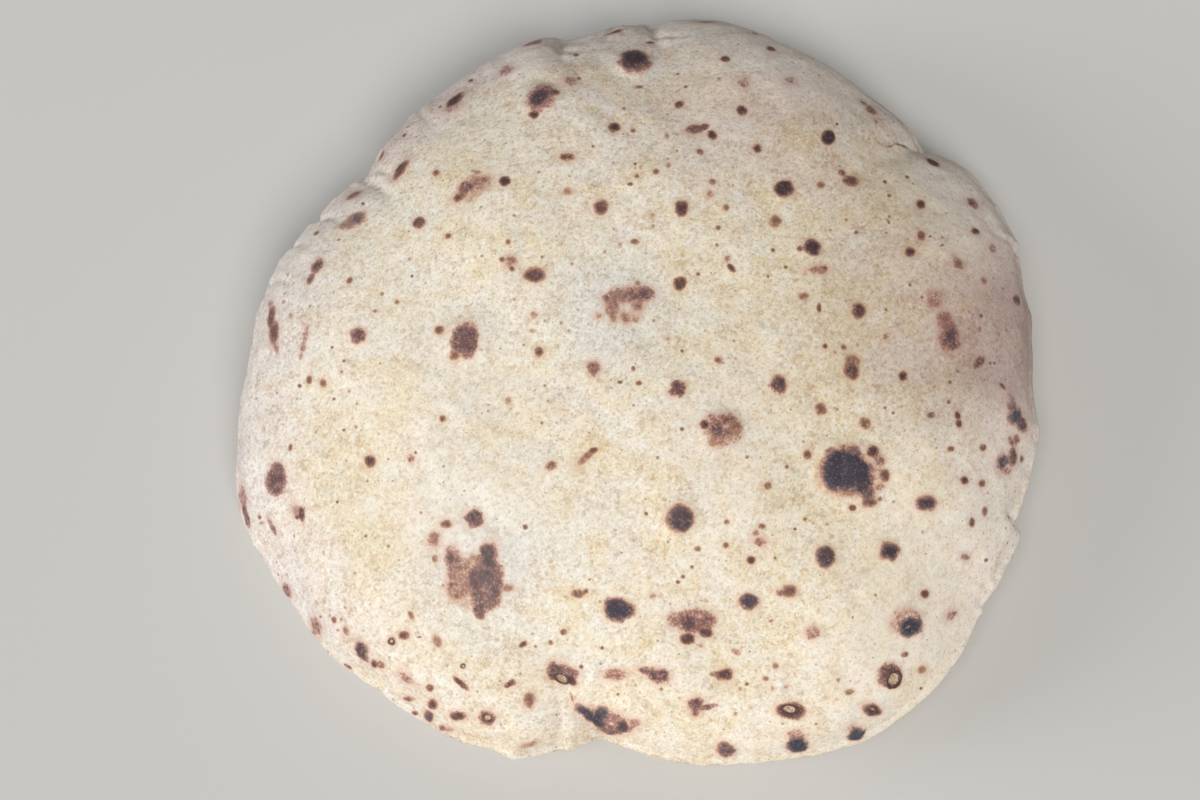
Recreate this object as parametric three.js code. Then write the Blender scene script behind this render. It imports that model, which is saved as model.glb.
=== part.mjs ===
// A puffed chapati (phulka): a thin round wholewheat flatbread blown up by its own steam.
// It is one closed body. The top layer domes up from the rim, the underside is flat where
// the bread rests and turns up gently to the rim, and the rim is a soft blunt lip with
// pinches and lobes. Millimetres, +Z up, the origin under the middle of the flat underside.

import * as THREE from "three";

// ---------------------------------------------------------------- driving dimensions

const HEIGHT = 41.5; // from the table to the top of the even dome, before its fullness
const RIM_HEIGHT = 13.5; // height of the rim line, where the two layers meet
const RIM_RADIUS = 90.08; // mean plan radius of the rim line, before its pinches
const FLAT_SHARE = 0.5; // share of the radius that lies flat underneath

const DOME_PLAN_POWER = 2.5; // superellipse powers of the dome: fuller than a sphere cap
const DOME_RISE_POWER = 1.9;
const UNDER_PLAN_POWER = 2.2; // the same for the upturn of the underside
const UNDER_RISE_POWER = 1.7;

const LIP_OUT = 1.3; // how far the lip stands out of the two layers
const LIP_HALF_HEIGHT = 1.8;

// The bread is rolled a little off centre: [cosine part, sine part]
const OFF_CENTRE = [1.59, -3.17];

// The rim is off round: [waves round the rim, cosine part, sine part]
const RIM_WAVES = [
  [2, 0.44, 0.93],
  [3, -1.24, -1.97],
  [4, -0.51, 0.99],
  [5, -0.35, 1.3],
  [6, -0.14, 0.46],
  [7, 0.1, -0.19],
  [8, -0.63, -0.27],
  [9, 0.13, -0.17],
];
const FADE_POWER = 4; // the waves and pinches of the rim fade out towards the middle

// Pinches in the rim (lobes where the depth is negative):
// [direction in degrees, depth, width on the clockwise side, width on the other side in degrees]
const RIM_PINCHES = [
  [264.6, 3.99, 3.9, 7.2],
  [38.3, 3.72, 3.5, 4.6],
  [142.8, 3.0, 4.7, 9.2],
  [336.4, 1.24, 0.8, 10.0],
  [86.8, 1.76, 2.0, 6.3],
  [101.9, 2.59, 8.0, 1.8],
  [154.7, 1.53, 8.0, 5.7],
  [351.1, -1.48, 8.0, 2.4],
  [257.9, 1.78, 1.5, 10.0],
  [324.6, 1.46, 8.0, 4.2],
];
const PINCH_SHARPNESS = 1.3;

// The rim line also rises and falls: [waves round the rim, cosine part, sine part]
const RIM_SWAY = [
  [1, 0.35, -0.3],
  [2, 0.55, 0.45],
  [3, -0.5, 0.35],
  [4, 0.3, -0.4],
  [5, 0.2, 0.3],
  [7, -0.2, 0.2],
];
const SWAY_LEAN = 0.3; // where the rim rises, it leans towards the front by this share

// The steam lifts the dome unevenly: fuller at the back, gentler in front.
// [waves round, inner power, outer power, cosine part, sine part] adds
// share^inner * (1 - share^outer) * (cosine part + sine part) to the height
const FULLNESS = [
  [0, 0, 2, 1.4, 0],
  [0, 4, 6, -0.8, 0],
  [1, 1, 2, 1.3, 1.8],
  [1, 2, 4, 0.2, 1.3],
  [1, 4, 8, -0.4, 0.3],
  [2, 2, 2, 0, -0.4],
  [2, 2, 4, 0, -0.8],
  [2, 4, 8, 0, -0.6],
  [3, 3, 2, 0, -0.3],
  [3, 3, 4, 0, -0.5],
];

// Broad waves of the thin top layer: [height, waves per 100 mm in x, in y, phase in degrees]
const SKIN_WAVES = [
  [0.75, 1.1, 0.7, 20],
  [0.6, -0.8, 1.5, 140],
  [0.5, 1.9, -0.6, 250],
  [0.35, 2.1, 1.9, 80],
  [0.3, -2.6, 1.1, 310],
];
const SKIN_FADE = 10; // the waves fade out over this height above the rim line

// Creases that run from a pinch up over the shoulder: start, bend and end in plan,
// half width, depth at the start and at the end
const CREASES = [
  { path: [68, 52.5, 60, 53, 55, 47.5], width: 2.4, deep: 1.6, shallow: 0.2 },
  { path: [-64, 43, -58, 39, -54, 32], width: 2.8, deep: 1.6, shallow: 0.2 },
  { path: [-18, 81, -20, 76, -17, 67], width: 2.8, deep: 1.5, shallow: 0.3 },
  { path: [3, 84, 4.5, 79, 5, 73], width: 3.0, deep: 0.9, shallow: 0.2 },
  { path: [-8, -84, -11, -81, -14.5, -74], width: 3.0, deep: 1.3, shallow: 0.2 },
  { path: [-16.3, -86, -16, -80, -15.5, -74], width: 2.4, deep: 0.9, shallow: 0.2 },
  { path: [84, -36, 79, -38.5, 74, -38], width: 2.4, deep: 0.9, shallow: 0.2 },
];

// Raised blisters of the baked skin: [x, y, radius, height]
const BLISTERS = [
  [44.5, -30, 7.5, 0.9],
  [-33, -52.5, 8, 0.8],
  [-2, 5.5, 7, 0.4],
  [-37, -1, 5.5, 0.8],
  [9, -41, 4.5, 0.7],
  [17.5, -23, 5, 0.6],
  [-1, 68.5, 4.5, 0.9],
  [-22, 57, 4.5, 0.9],
];

// Broad swells of the shoulder, steep on their outer side: [x, y, radius, height]
const SWELLS = [
  [57, 16, 20, 2.2],
  [28, 58, 16, 1.3],
  [-52, -20, 24, 1.4],
];

// How finely the surface is divided
const AROUND = 132;
const RINGS_UNDER = 9;
const RINGS_DOME = 21;

// ---------------------------------------------------------------- the cross-section

const { PI, abs, cos, sin, hypot, exp, max, min } = Math;
const degrees = (a) => (a * PI) / 180;

// The even dome at a share u of the rim radius.
function domeAt(u) {
  const a = Math.acos(u ** (DOME_PLAN_POWER / 2));
  return { u, z: RIM_HEIGHT + (HEIGHT - RIM_HEIGHT) * sin(a) ** (2 / DOME_RISE_POWER), dome: true };
}

// Section of the bread at unit rim radius, from the middle of the underside out to the rim
// and back over the dome to the top: u is the share of the rim radius, z the height.
function section() {
  const points = [];
  points.push({ u: 0, z: 0 });
  points.push({ u: FLAT_SHARE / 2, z: 0 });
  for (let i = 0; i < RINGS_UNDER; i++) {
    const v = 1 - (1 - i / RINGS_UNDER) ** 3; // the rings crowd towards the lip
    points.push({
      u: FLAT_SHARE + (1 - FLAT_SHARE) * v,
      z: RIM_HEIGHT * (1 - (1 - v ** UNDER_PLAN_POWER) ** (1 / UNDER_RISE_POWER)),
    });
  }
  for (let i = 0; i < RINGS_DOME; i++)
    points.push(domeAt(cos(((i / RINGS_DOME) ** 1.25 * PI) / 2) ** (2 / DOME_PLAN_POWER)));
  for (const u of [0.1, 0.05, 0]) points.push(domeAt(u));
  return points;
}

const lipAt = (z) => LIP_OUT * exp(-(((z - RIM_HEIGHT) / LIP_HALF_HEIGHT) ** 2));

// ---------------------------------------------------------------- the plan outline

// Radius of the plain, off-centre round.
const roundRadius = (angle) =>
  RIM_RADIUS + OFF_CENTRE[0] * cos(angle) + OFF_CENTRE[1] * sin(angle);

// What the waves and pinches of the rim add to it.
function rimUnevenness(angle) {
  let r = 0;
  for (const [n, c, s] of RIM_WAVES) r += c * cos(n * angle) + s * sin(n * angle);
  const a = (angle * 180) / PI;
  for (const [at, depth, before, after] of RIM_PINCHES) {
    const d = ((((a - at + 180) % 360) + 360) % 360) - 180;
    r -= depth * exp(-((abs(d) / (d < 0 ? before : after)) ** PINCH_SHARPNESS));
  }
  return r;
}

// How far the rim line stands above its mean height.
const sway = (angle) =>
  RIM_SWAY.reduce((z, [n, c, s]) => z + c * cos(n * angle) + s * sin(n * angle), 0);

// How much of that sway a ring takes part in: none on the flat and at the top.
const swayShare = (u, dome) => (dome ? u ** 4 : max(0, (u - FLAT_SHARE) / (1 - FLAT_SHARE)) ** 2);

// How much the steam lifts the dome above the even one, at a share of the radius.
function fullness(u, angle) {
  let h = 0;
  for (const [n, inner, outer, c, s] of FULLNESS)
    h += u ** inner * (1 - u ** outer) * (c * cos(n * angle) + s * sin(n * angle));
  return h;
}

// ---------------------------------------------------------------- relief of the top layer

// Distance from a plan point to a crease's curve, and how far along the curve that is.
function nearestOn([x0, y0, x1, y1, x2, y2], x, y) {
  const steps = 16;
  let best = Infinity;
  let along = 0;
  let px = x0;
  let py = y0;
  for (let i = 1; i <= steps; i++) {
    const t = i / steps;
    const qx = (1 - t) ** 2 * x0 + 2 * t * (1 - t) * x1 + t * t * x2;
    const qy = (1 - t) ** 2 * y0 + 2 * t * (1 - t) * y1 + t * t * y2;
    const dx = qx - px;
    const dy = qy - py;
    const s = min(1, max(0, ((x - px) * dx + (y - py) * dy) / (dx * dx + dy * dy)));
    const d = hypot(x - px - s * dx, y - py - s * dy);
    if (d < best) {
      best = d;
      along = (i - 1 + s) / steps;
    }
    px = qx;
    py = qy;
  }
  return [best, along];
}

// How far the skin stands out of the smooth dome, at a plan point.
function relief(x, y) {
  let out = 0;
  for (const [h, kx, ky, phase] of SKIN_WAVES)
    out += h * cos((2 * PI * (kx * x + ky * y)) / 100 + degrees(phase));
  for (const { path, width, deep, shallow } of CREASES) {
    const [d, t] = nearestOn(path, x, y);
    out -= (deep + (shallow - deep) * t) * exp(-((d / width) ** 2));
  }
  for (const [bx, by, r, h] of BLISTERS)
    out += h * exp(-((hypot(x - bx, y - by) / r) ** 4));
  for (const [bx, by, r, h] of SWELLS)
    out += h * exp(-((hypot(x - bx, y - by) / r) ** 2));
  return out;
}

// ---------------------------------------------------------------- the body

function bread() {
  const line = section();
  const lathe = new THREE.LatheGeometry(
    line.map((p) => new THREE.Vector2(p.u, p.z)),
    AROUND,
  );
  lathe.rotateX(PI / 2); // the lathe turns about Y: lay its axis along Z

  // outward direction of each ring in the section
  const flat = line.map((p) => ({ r: p.u * RIM_RADIUS + lipAt(p.z), z: p.z }));
  const out = flat.map((p, i) => {
    const a = flat[max(0, i - 1)];
    const b = flat[min(flat.length - 1, i + 1)];
    const l = hypot(b.r - a.r, b.z - a.z) || 1;
    return { r: (b.z - a.z) / l, z: -(b.r - a.r) / l };
  });
  out[line.length - 1] = { r: 0, z: 1 };

  const pos = lathe.getAttribute("position");
  const perSpoke = line.length;
  for (let i = 0; i < pos.count; i++) {
    const ring = i % perSpoke; // each spoke of the lathe holds the whole section
    const spoke = Math.floor(i / perSpoke) % AROUND;
    const { u, z, dome } = line[ring];
    const angle = (spoke / AROUND) * 2 * PI;
    let r =
      u * (roundRadius(angle) - LIP_OUT) +
      u ** FADE_POWER * rimUnevenness(angle) +
      (u > 0 ? lipAt(z) : 0);
    const rise = sway(angle) * swayShare(u, dome);
    r -= rise * SWAY_LEAN * sin(angle);
    let h = z + rise;
    if (dome) {
      h += fullness(u, angle);
      const t = min(1, max(0, (z - RIM_HEIGHT) / SKIN_FADE));
      const d = relief(r * cos(angle), r * sin(angle)) * t * t * (3 - 2 * t);
      r += u > 0 ? d * out[ring].r : 0;
      h += d * out[ring].z;
    }
    pos.setXYZ(i, r * cos(angle), r * sin(angle), h);
  }

  // a lathe strings a triangle without width between each pair of spokes at the axis: leave those out
  const index = lathe.getIndex();
  const kept = [];
  const a = new THREE.Vector3();
  const b = new THREE.Vector3();
  const c = new THREE.Vector3();
  for (let i = 0; i < index.count; i += 3) {
    const [p, q, s] = [index.getX(i), index.getX(i + 1), index.getX(i + 2)];
    a.fromBufferAttribute(pos, p);
    b.fromBufferAttribute(pos, q);
    c.fromBufferAttribute(pos, s);
    if (b.sub(a).cross(c.sub(a)).length() < 1e-6) continue;
    kept.push(p, q, s);
  }
  const body = new THREE.BufferGeometry();
  body.setAttribute("position", pos);
  body.setIndex(kept);

  // stand the body over the middle of its own plan, on z = 0
  body.computeBoundingBox();
  const { min: low, max: high } = body.boundingBox;
  body.translate(-(low.x + high.x) / 2, -(low.y + high.y) / 2, -low.z);
  body.computeVertexNormals();
  return body;
}

const crust = new THREE.MeshStandardMaterial({
  name: "baked dough",
  color: 0xe3d3b8,
  roughness: 0.85,
  metalness: 0,
});

const chapati = new THREE.Mesh(bread(), crust);
chapati.name = "chapati";

const group = new THREE.Group();
group.name = "puffed chapati";
group.add(chapati);

export default group;
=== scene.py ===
"""The looks of a puffed chapati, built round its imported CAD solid.

One fine mesh stands for the CAD solid: the same dome, rim, pinches and creases, with the finer
relief of the baked skin (blisters, scorched craters, wrinkles, lumps) as real geometry, and a
procedural crust whose scorch marks are carried by the mesh's own attributes.
"""

import math

import bpy
import numpy as np
from mathutils import Matrix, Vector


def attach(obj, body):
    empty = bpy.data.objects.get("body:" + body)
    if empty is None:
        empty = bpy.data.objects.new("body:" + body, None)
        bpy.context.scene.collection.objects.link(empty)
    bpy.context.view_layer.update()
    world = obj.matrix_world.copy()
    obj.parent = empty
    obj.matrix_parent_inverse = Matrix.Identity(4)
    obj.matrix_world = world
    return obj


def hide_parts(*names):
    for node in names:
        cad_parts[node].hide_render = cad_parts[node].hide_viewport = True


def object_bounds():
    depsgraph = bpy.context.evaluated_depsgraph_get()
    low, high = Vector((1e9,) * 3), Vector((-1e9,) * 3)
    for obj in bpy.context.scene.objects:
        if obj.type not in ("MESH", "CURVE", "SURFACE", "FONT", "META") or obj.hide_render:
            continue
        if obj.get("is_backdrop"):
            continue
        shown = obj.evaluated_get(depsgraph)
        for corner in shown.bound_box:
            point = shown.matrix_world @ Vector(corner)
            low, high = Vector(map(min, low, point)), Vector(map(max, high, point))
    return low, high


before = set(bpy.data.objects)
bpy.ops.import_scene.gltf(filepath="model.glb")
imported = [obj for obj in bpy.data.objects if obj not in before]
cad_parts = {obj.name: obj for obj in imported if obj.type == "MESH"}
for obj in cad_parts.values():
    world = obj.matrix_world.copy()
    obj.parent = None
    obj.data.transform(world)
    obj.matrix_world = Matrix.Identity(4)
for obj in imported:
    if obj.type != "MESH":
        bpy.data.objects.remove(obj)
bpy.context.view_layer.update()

rng = np.random.default_rng(20)

# ------------------------------------------------------------------ the form, in millimetres

HEIGHT = 41.5
RIM_HEIGHT = 13.5
RIM_RADIUS = 90.08
FLAT_SHARE = 0.5
DOME_PLAN_POWER, DOME_RISE_POWER = 2.5, 1.9
UNDER_PLAN_POWER, UNDER_RISE_POWER = 2.2, 1.7
LIP_OUT, LIP_HALF_HEIGHT = 1.3, 1.8
OFF_CENTRE = (1.59, -3.17)
RIM_WAVES = [
    (2, 0.44, 0.93), (3, -1.24, -1.97), (4, -0.51, 0.99), (5, -0.35, 1.3),
    (6, -0.14, 0.46), (7, 0.1, -0.19), (8, -0.63, -0.27), (9, 0.13, -0.17),
]
# finer unevenness of the rim, too small for the solid
RIM_RIPPLES = [
    (10, -0.05, 0.0), (11, 0.03, -0.02), (12, -0.12, -0.01), (13, 0.14, 0.04), (14, 0.06, -0.1),
    (15, -0.08, 0.08), (18, 0.05, 0.01), (19, -0.01, -0.09), (20, -0.03, 0.08), (21, -0.01, 0.04),
    (22, -0.06, 0.04), (24, 0.04, 0.06), (26, -0.04, 0.03), (28, -0.07, 0.03), (30, -0.04, -0.05),
]
FADE_POWER, NICK_FADE_POWER = 4, 11
NICK_REACH = 8.0  # how far above and below the rim its nicks run out
RIM_PINCHES = [
    (264.6, 3.99, 3.9, 7.2), (38.3, 3.72, 3.5, 4.6), (142.8, 3.0, 4.7, 9.2), (336.4, 1.24, 0.8, 10.0),
    (86.8, 1.76, 2.0, 6.3), (101.9, 2.59, 8.0, 1.8), (154.7, 1.53, 8.0, 5.7), (351.1, -1.48, 8.0, 2.4),
    (257.9, 1.78, 1.5, 10.0), (324.6, 1.46, 8.0, 4.2),
]
PINCH_SHARPNESS = 1.3
# small scallops and nicks of the rim: direction, how far out, width on the clockwise and the other side
RIM_NICKS = [
    (19.2, 0.9, 0.7, 0.8), (17.4, -0.6, 0.9, 0.5), (25.4, 0.55, 1.5, 0.7), (8.2, 0.45, 1.3, 1.3), (37.6, 0.8, 3.2, 0.3),
    (52.6, 0.5, 2.0, 1.6), (70, 0.45, 1.4, 1.2), (92.3, 0.4, 0.5, 1.5), (126.1, -0.7, 1.4, 1.0), (130, 0.55, 0.9, 1.8),
    (137.6, 0.45, 1.8, 1.2), (143.7, -0.8, 2.2, 0.25), (145.4, 0.75, 0.9, 1.4), (149.3, 0.4, 1.0, 2.4),
    (153.8, -0.9, 1.0, 0.25), (155.0, 0.95, 0.3, 2.4), (159.8, -0.65, 1.5, 0.4), (162.2, 0.5, 0.9, 2.0),
    (168.4, -0.4, 1.0, 0.8), (172, 0.4, 1.3, 1.0), (176, -0.5, 1.3, 0.9), (194.3, 0.55, 0.8, 2.2), (205.6, 0.65, 1.3, 0.4),
    (219.2, 0.4, 1.2, 1.4), (230.3, 0.4, 0.5, 1.1), (232.8, -0.5, 0.9, 0.8), (243.3, 0.4, 0.9, 2.2), (249.8, -0.5, 1.2, 1.2),
    (253.4, 0.8, 1.2, 0.9), (257.8, 0.7, 0.9, 0.9), (261.1, 0.75, 0.8, 0.2), (279.4, 0.35, 1.6, 1.6), (284, -0.35, 1.0, 1.0),
    (297.6, -0.5, 1.1, 0.9), (323.7, 0.55, 0.9, 0.35), (327.6, 0.4, 0.7, 1.2), (331, -0.5, 1.2, 0.7),
    (336.2, 0.95, 2.6, 0.2), (337.2, -0.5, 0.3, 1.1), (343, 0.7, 1.6, 1.1),
]
RIM_SWAY = [(1, 0.35, -0.3), (2, 0.55, 0.45), (3, -0.5, 0.35), (4, 0.3, -0.4), (5, 0.2, 0.3), (7, -0.2, 0.2)]
SWAY_LEAN = 0.3
FULLNESS = [
    (0, 0, 2, 1.4, 0), (0, 4, 6, -0.8, 0), (1, 1, 2, 1.3, 1.8), (1, 2, 4, 0.2, 1.3), (1, 4, 8, -0.4, 0.3),
    (2, 2, 2, 0, -0.4), (2, 2, 4, 0, -0.8), (2, 4, 8, 0, -0.6), (3, 3, 2, 0, -0.3), (3, 3, 4, 0, -0.5),
]
SKIN_WAVES = [
    (0.75, 1.1, 0.7, 20), (0.6, -0.8, 1.5, 140), (0.5, 1.9, -0.6, 250), (0.35, 2.1, 1.9, 80),
    (0.3, -2.6, 1.1, 310),
]
SKIN_FADE = 10
CREASES = [  # start, bend, end in plan; half width; depth at the start and at the end
    ((68, 52.5, 62, 53, 58, 50), 2.4, 1.1, 0.1),
    ((-64, 43, -58, 39, -54, 32), 2.8, 1.6, 0.2),
    ((-18, 81, -20, 76, -17, 67), 2.8, 1.5, 0.3),
    ((3, 84, 4.5, 79, 5, 73), 3.0, 0.9, 0.2),
    ((-8, -84, -11, -81, -14.5, -74), 3.0, 1.3, 0.2),
    ((-16.3, -86, -16, -80, -15.5, -74), 2.4, 0.9, 0.2),
    ((84, -36, 81.5, -37.5, 79, -37.8), 2.4, 0.15, 0.0),
]
BLISTERS = [
    (44.5, -30, 7.5, 0.9), (-33, -52.5, 8, 0.8), (-2, 5.5, 7, 0.4), (-37, -1, 5.5, 0.8),
    (9, -41, 4.5, 0.7), (17.5, -23, 5, 0.6), (-1, 68.5, 4.5, 0.9), (-22, 57, 4.5, 0.9),
]
SWELLS = [(57, 16, 20, 2.2), (28, 58, 16, 1.3), (-52, -20, 24, 1.4)]
# finer folds, too small for the solid: path, half width, depth at the start and at the end, as the creases
FOLDS = [
    ((66.5, 51.5, 62.5, 52, 59, 50.5), 0.75, 0.35, 0.2), ((-63.5, 45, -59, 41, -56, 36), 0.9, 0.6, 0.15),
    ((-62, 46.5, -57, 45, -54, 39), 0.8, 0.35, 0.1), ((-73.5, 36.5, -69, 33.5, -66.5, 30.5), 0.9, 0.3, 0.1),
    ((-79, 29.5, -75, 27, -73, 24), 0.9, 0.25, 0.1), ((-18.2, 82, -19, 76, -16.6, 69), 1.0, 0.7, 0.25),
    ((-17.6, 75, -14, 73, -11, 74), 1.0, 0.4, 0.1), ((3, 86, 4, 80, 5, 75), 0.9, 0.5, 0.15),
    ((5, 79, 9, 77, 13, 78), 0.9, 0.35, 0.1), ((-8, -84, -9.5, -82.5, -13.5, -78.5), 1.0, 0.6, 0.35),
    ((-16.6, -86, -16.2, -80, -15.9, -77), 0.8, 0.45, 0.2), ((-14, -77.5, -14.3, -75.5, -14.8, -74), 0.7, 0.3, 0.25),
    ((85, -36, 83.5, -36.8, 81, -37), 0.9, 0.18, 0.0), ((87.5, 28, 84, 27, 80, 28), 0.9, 0.35, 0.1),
    ((-53, 66, -50, 60, -48, 56), 0.9, 0.35, 0.1), ((34, 82, 32, 77, 33, 72), 1.0, 0.35, 0.1),
    ((-84, 20, -79, 18, -75, 14), 0.9, 0.3, 0.1), ((76, -50, 73, -50, 70, -48), 0.8, 0.35, 0.1),
    ((-24, 82, -27, 78, -33, 77), 0.9, 0.35, 0.1), ((-5, 85, -8, 80, -7, 75), 0.9, 0.3, 0.1),
]

# ------------------------------------------------------------------ the camera

ELEVATION = 73.0  # degrees above the horizon, in front of the bread
DISTANCE = 450.0
FOCAL_PX = 2013.0  # in pixels of a 1200 x 800 picture
AIM = np.array((1.98, -9.62, 18.0))
AIM_AT = (645.6, 405.6)


def camera_axes():
    e = math.radians(ELEVATION)
    back = np.array((0.0, -math.cos(e), math.sin(e)))
    right, ahead = np.array((1.0, 0.0, 0.0)), -back
    up = np.cross(right, ahead)
    v = np.array(((AIM_AT[0] - 600) / FOCAL_PX, -(AIM_AT[1] - 400) / FOCAL_PX, 1.0))
    v /= np.linalg.norm(v)
    yaw, pitch = math.atan2(v[0], v[2]), math.asin(v[1])
    right2 = right * math.cos(yaw) + ahead * math.sin(yaw)
    ahead2 = ahead * math.cos(yaw) - right * math.sin(yaw)
    up2 = up * math.cos(pitch) + ahead2 * math.sin(pitch)
    ahead3 = ahead2 * math.cos(pitch) - up * math.sin(pitch)
    return AIM + DISTANCE * back, right2, up2, ahead3


EYE, RIGHT, UP, AHEAD = camera_axes()


def to_picture(p):
    """Where points in millimetres fall in a 1200 x 800 picture."""
    q = p - EYE
    w = q @ AHEAD
    return np.stack((600 + FOCAL_PX * (q @ RIGHT) / w, 400 - FOCAL_PX * (q @ UP) / w), -1)


# ------------------------------------------------------------------ noise

_perm = rng.permutation(256)
_perm = np.concatenate((_perm, _perm, _perm))
_grad = rng.normal(size=(256, 3))
_grad /= np.linalg.norm(_grad, axis=1, keepdims=True)


def noise(p, seed=0):
    """Gradient noise in about -1..1 at points p."""
    p = p + seed * 17.31
    i = np.floor(p).astype(np.int64)
    f = p - i
    u = f * f * f * (f * (6 * f - 15) + 10)
    i &= 255
    out = 0
    for dx in (0, 1):
        wx = u[:, 0] if dx else 1 - u[:, 0]
        for dy in (0, 1):
            wy = u[:, 1] if dy else 1 - u[:, 1]
            for dz in (0, 1):
                wz = u[:, 2] if dz else 1 - u[:, 2]
                h = _perm[_perm[_perm[(i[:, 0] + dx) & 255] + ((i[:, 1] + dy) & 255)] + ((i[:, 2] + dz) & 255)]
                g = _grad[h]
                out = out + wx * wy * wz * (
                    g[:, 0] * (f[:, 0] - dx) + g[:, 1] * (f[:, 1] - dy) + g[:, 2] * (f[:, 2] - dz)
                )
    return out * 1.6


def fbm(p, size, octaves=3, seed=0, rough=0.5):
    out, a, total = 0, 1.0, 0.0
    for k in range(octaves):
        out = out + a * noise(p / size, seed + 7 * k)
        total += a
        a *= rough
        size *= 0.5
    return out / total


# ------------------------------------------------------------------ the surface

def bend(t):
    t = np.clip(t, 0, 1)
    return t * t * (3 - 2 * t)


def profile(side):
    """Share of the radius and height along the section, evenly by length, from the middle out to the rim."""
    if side > 0:
        a = np.linspace(1, 0, 4001) ** 1.2 * math.pi / 2
        u = np.clip(np.cos(a), 0, 1) ** (2 / DOME_PLAN_POWER)
        z = RIM_HEIGHT + (HEIGHT - RIM_HEIGHT) * np.sin(a) ** (2 / DOME_RISE_POWER)
        u[0] = 0
    else:
        v = 1 - np.linspace(1, 0, 4001) ** 3
        u = np.concatenate((np.linspace(0, FLAT_SHARE, 1000, endpoint=False), FLAT_SHARE + (1 - FLAT_SHARE) * v))
        zz = RIM_HEIGHT * (1 - np.clip(1 - v**UNDER_PLAN_POWER, 0, 1) ** (1 / UNDER_RISE_POWER))
        z = np.concatenate((np.zeros(1000), zz))
    length = np.concatenate(((0,), np.cumsum(np.hypot(np.diff(u) * RIM_RADIUS, np.diff(z)))))
    s = length / length[-1]
    lip = LIP_OUT * np.exp(-(((z - RIM_HEIGHT) / LIP_HALF_HEIGHT) ** 2))
    r = u * RIM_RADIUS + lip
    dr, dz = np.gradient(r, s), np.gradient(z, s)
    n = np.hypot(dr, dz) + 1e-9
    nr, nz = -dz / n * side, dr / n * side
    if side > 0:
        nr[0], nz[0] = 0, 1
    return s, u, z, nr, nz


PROFILE = {1: profile(1), -1: profile(-1)}


def round_radius(t):
    return RIM_RADIUS + OFF_CENTRE[0] * np.cos(t) + OFF_CENTRE[1] * np.sin(t)


def rim_unevenness(t):
    """How far the rim strays outwards: in its waves and pinches, and in its small sharp nicks."""
    r, sharp = np.zeros_like(t), np.zeros_like(t)
    for n, c, s in RIM_WAVES + RIM_RIPPLES:
        r += c * np.cos(n * t) + s * np.sin(n * t)
    a = np.degrees(t)
    for at, depth, before, after in RIM_PINCHES:
        d = (a - at + 180) % 360 - 180
        dent = depth * np.exp(-((np.abs(d) / np.where(d < 0, before, after)) ** PINCH_SHARPNESS))
        if min(before, after) < 1:
            sharp -= dent
        else:
            r -= dent
    for at, out, before, after in RIM_NICKS:
        d = (a - at + 180) % 360 - 180
        sharp += out * np.exp(-np.abs(d) / np.where(d < 0, before, after) * 1.2)
    return r, sharp


def sway(t):
    return sum(c * np.cos(n * t) + s * np.sin(n * t) for n, c, s in RIM_SWAY)


def near_curve(path, x, y):
    x0, y0, x1, y1, x2, y2 = path
    best, along = np.full(x.shape, 1e9), np.zeros(x.shape)
    px, py = x0, y0
    for i in range(1, 17):
        t = i / 16
        qx = (1 - t) ** 2 * x0 + 2 * t * (1 - t) * x1 + t * t * x2
        qy = (1 - t) ** 2 * y0 + 2 * t * (1 - t) * y1 + t * t * y2
        dx, dy = qx - px, qy - py
        s = np.clip(((x - px) * dx + (y - py) * dy) / (dx * dx + dy * dy), 0, 1)
        d = np.hypot(x - px - s * dx, y - py - s * dy)
        m = d < best
        best[m], along[m] = d[m], ((i - 1 + s) / 16)[m]
        px, py = qx, qy
    return best, along


def relief(x, y):
    out = np.zeros_like(x)
    for h, kx, ky, phase in SKIN_WAVES:
        out += h * np.cos(2 * math.pi * (kx * x + ky * y) / 100 + math.radians(phase))
    for path, width, deep, shallow in CREASES:
        d, t = near_curve(path, x, y)
        out -= (deep + (shallow - deep) * t) * np.exp(-((d / width) ** 2))
    for bx, by, r, h in BLISTERS:
        out += h * np.exp(-((np.hypot(x - bx, y - by) / r) ** 4))
    for bx, by, r, h in SWELLS:
        out += h * np.exp(-((np.hypot(x - bx, y - by) / r) ** 2))
    return out


def folds(x, y):
    out = np.zeros_like(x)
    for path, width, deep, shallow in FOLDS:
        xs, ys = path[0::2], path[1::2]
        k = (x > min(xs) - 5) & (x < max(xs) + 5) & (y > min(ys) - 5) & (y < max(ys) + 5)
        d, t = near_curve(path, x[k], y[k])
        end = bend((1 - t) / 0.15 + 0.35)  # runs out at its inner end
        out[k] -= (deep + (shallow - deep) * t) * end * (np.exp(-((d / width) ** 2)) - 0.35 * np.exp(-(((d - 2 * width) / width) ** 2)))
    return out


def fullness(u, t):
    h = np.zeros_like(u)
    for n, inner, outer, c, s in FULLNESS:
        h += u**inner * (1 - u**outer) * (c * np.cos(n * t) + s * np.sin(n * t))
    return h


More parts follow.
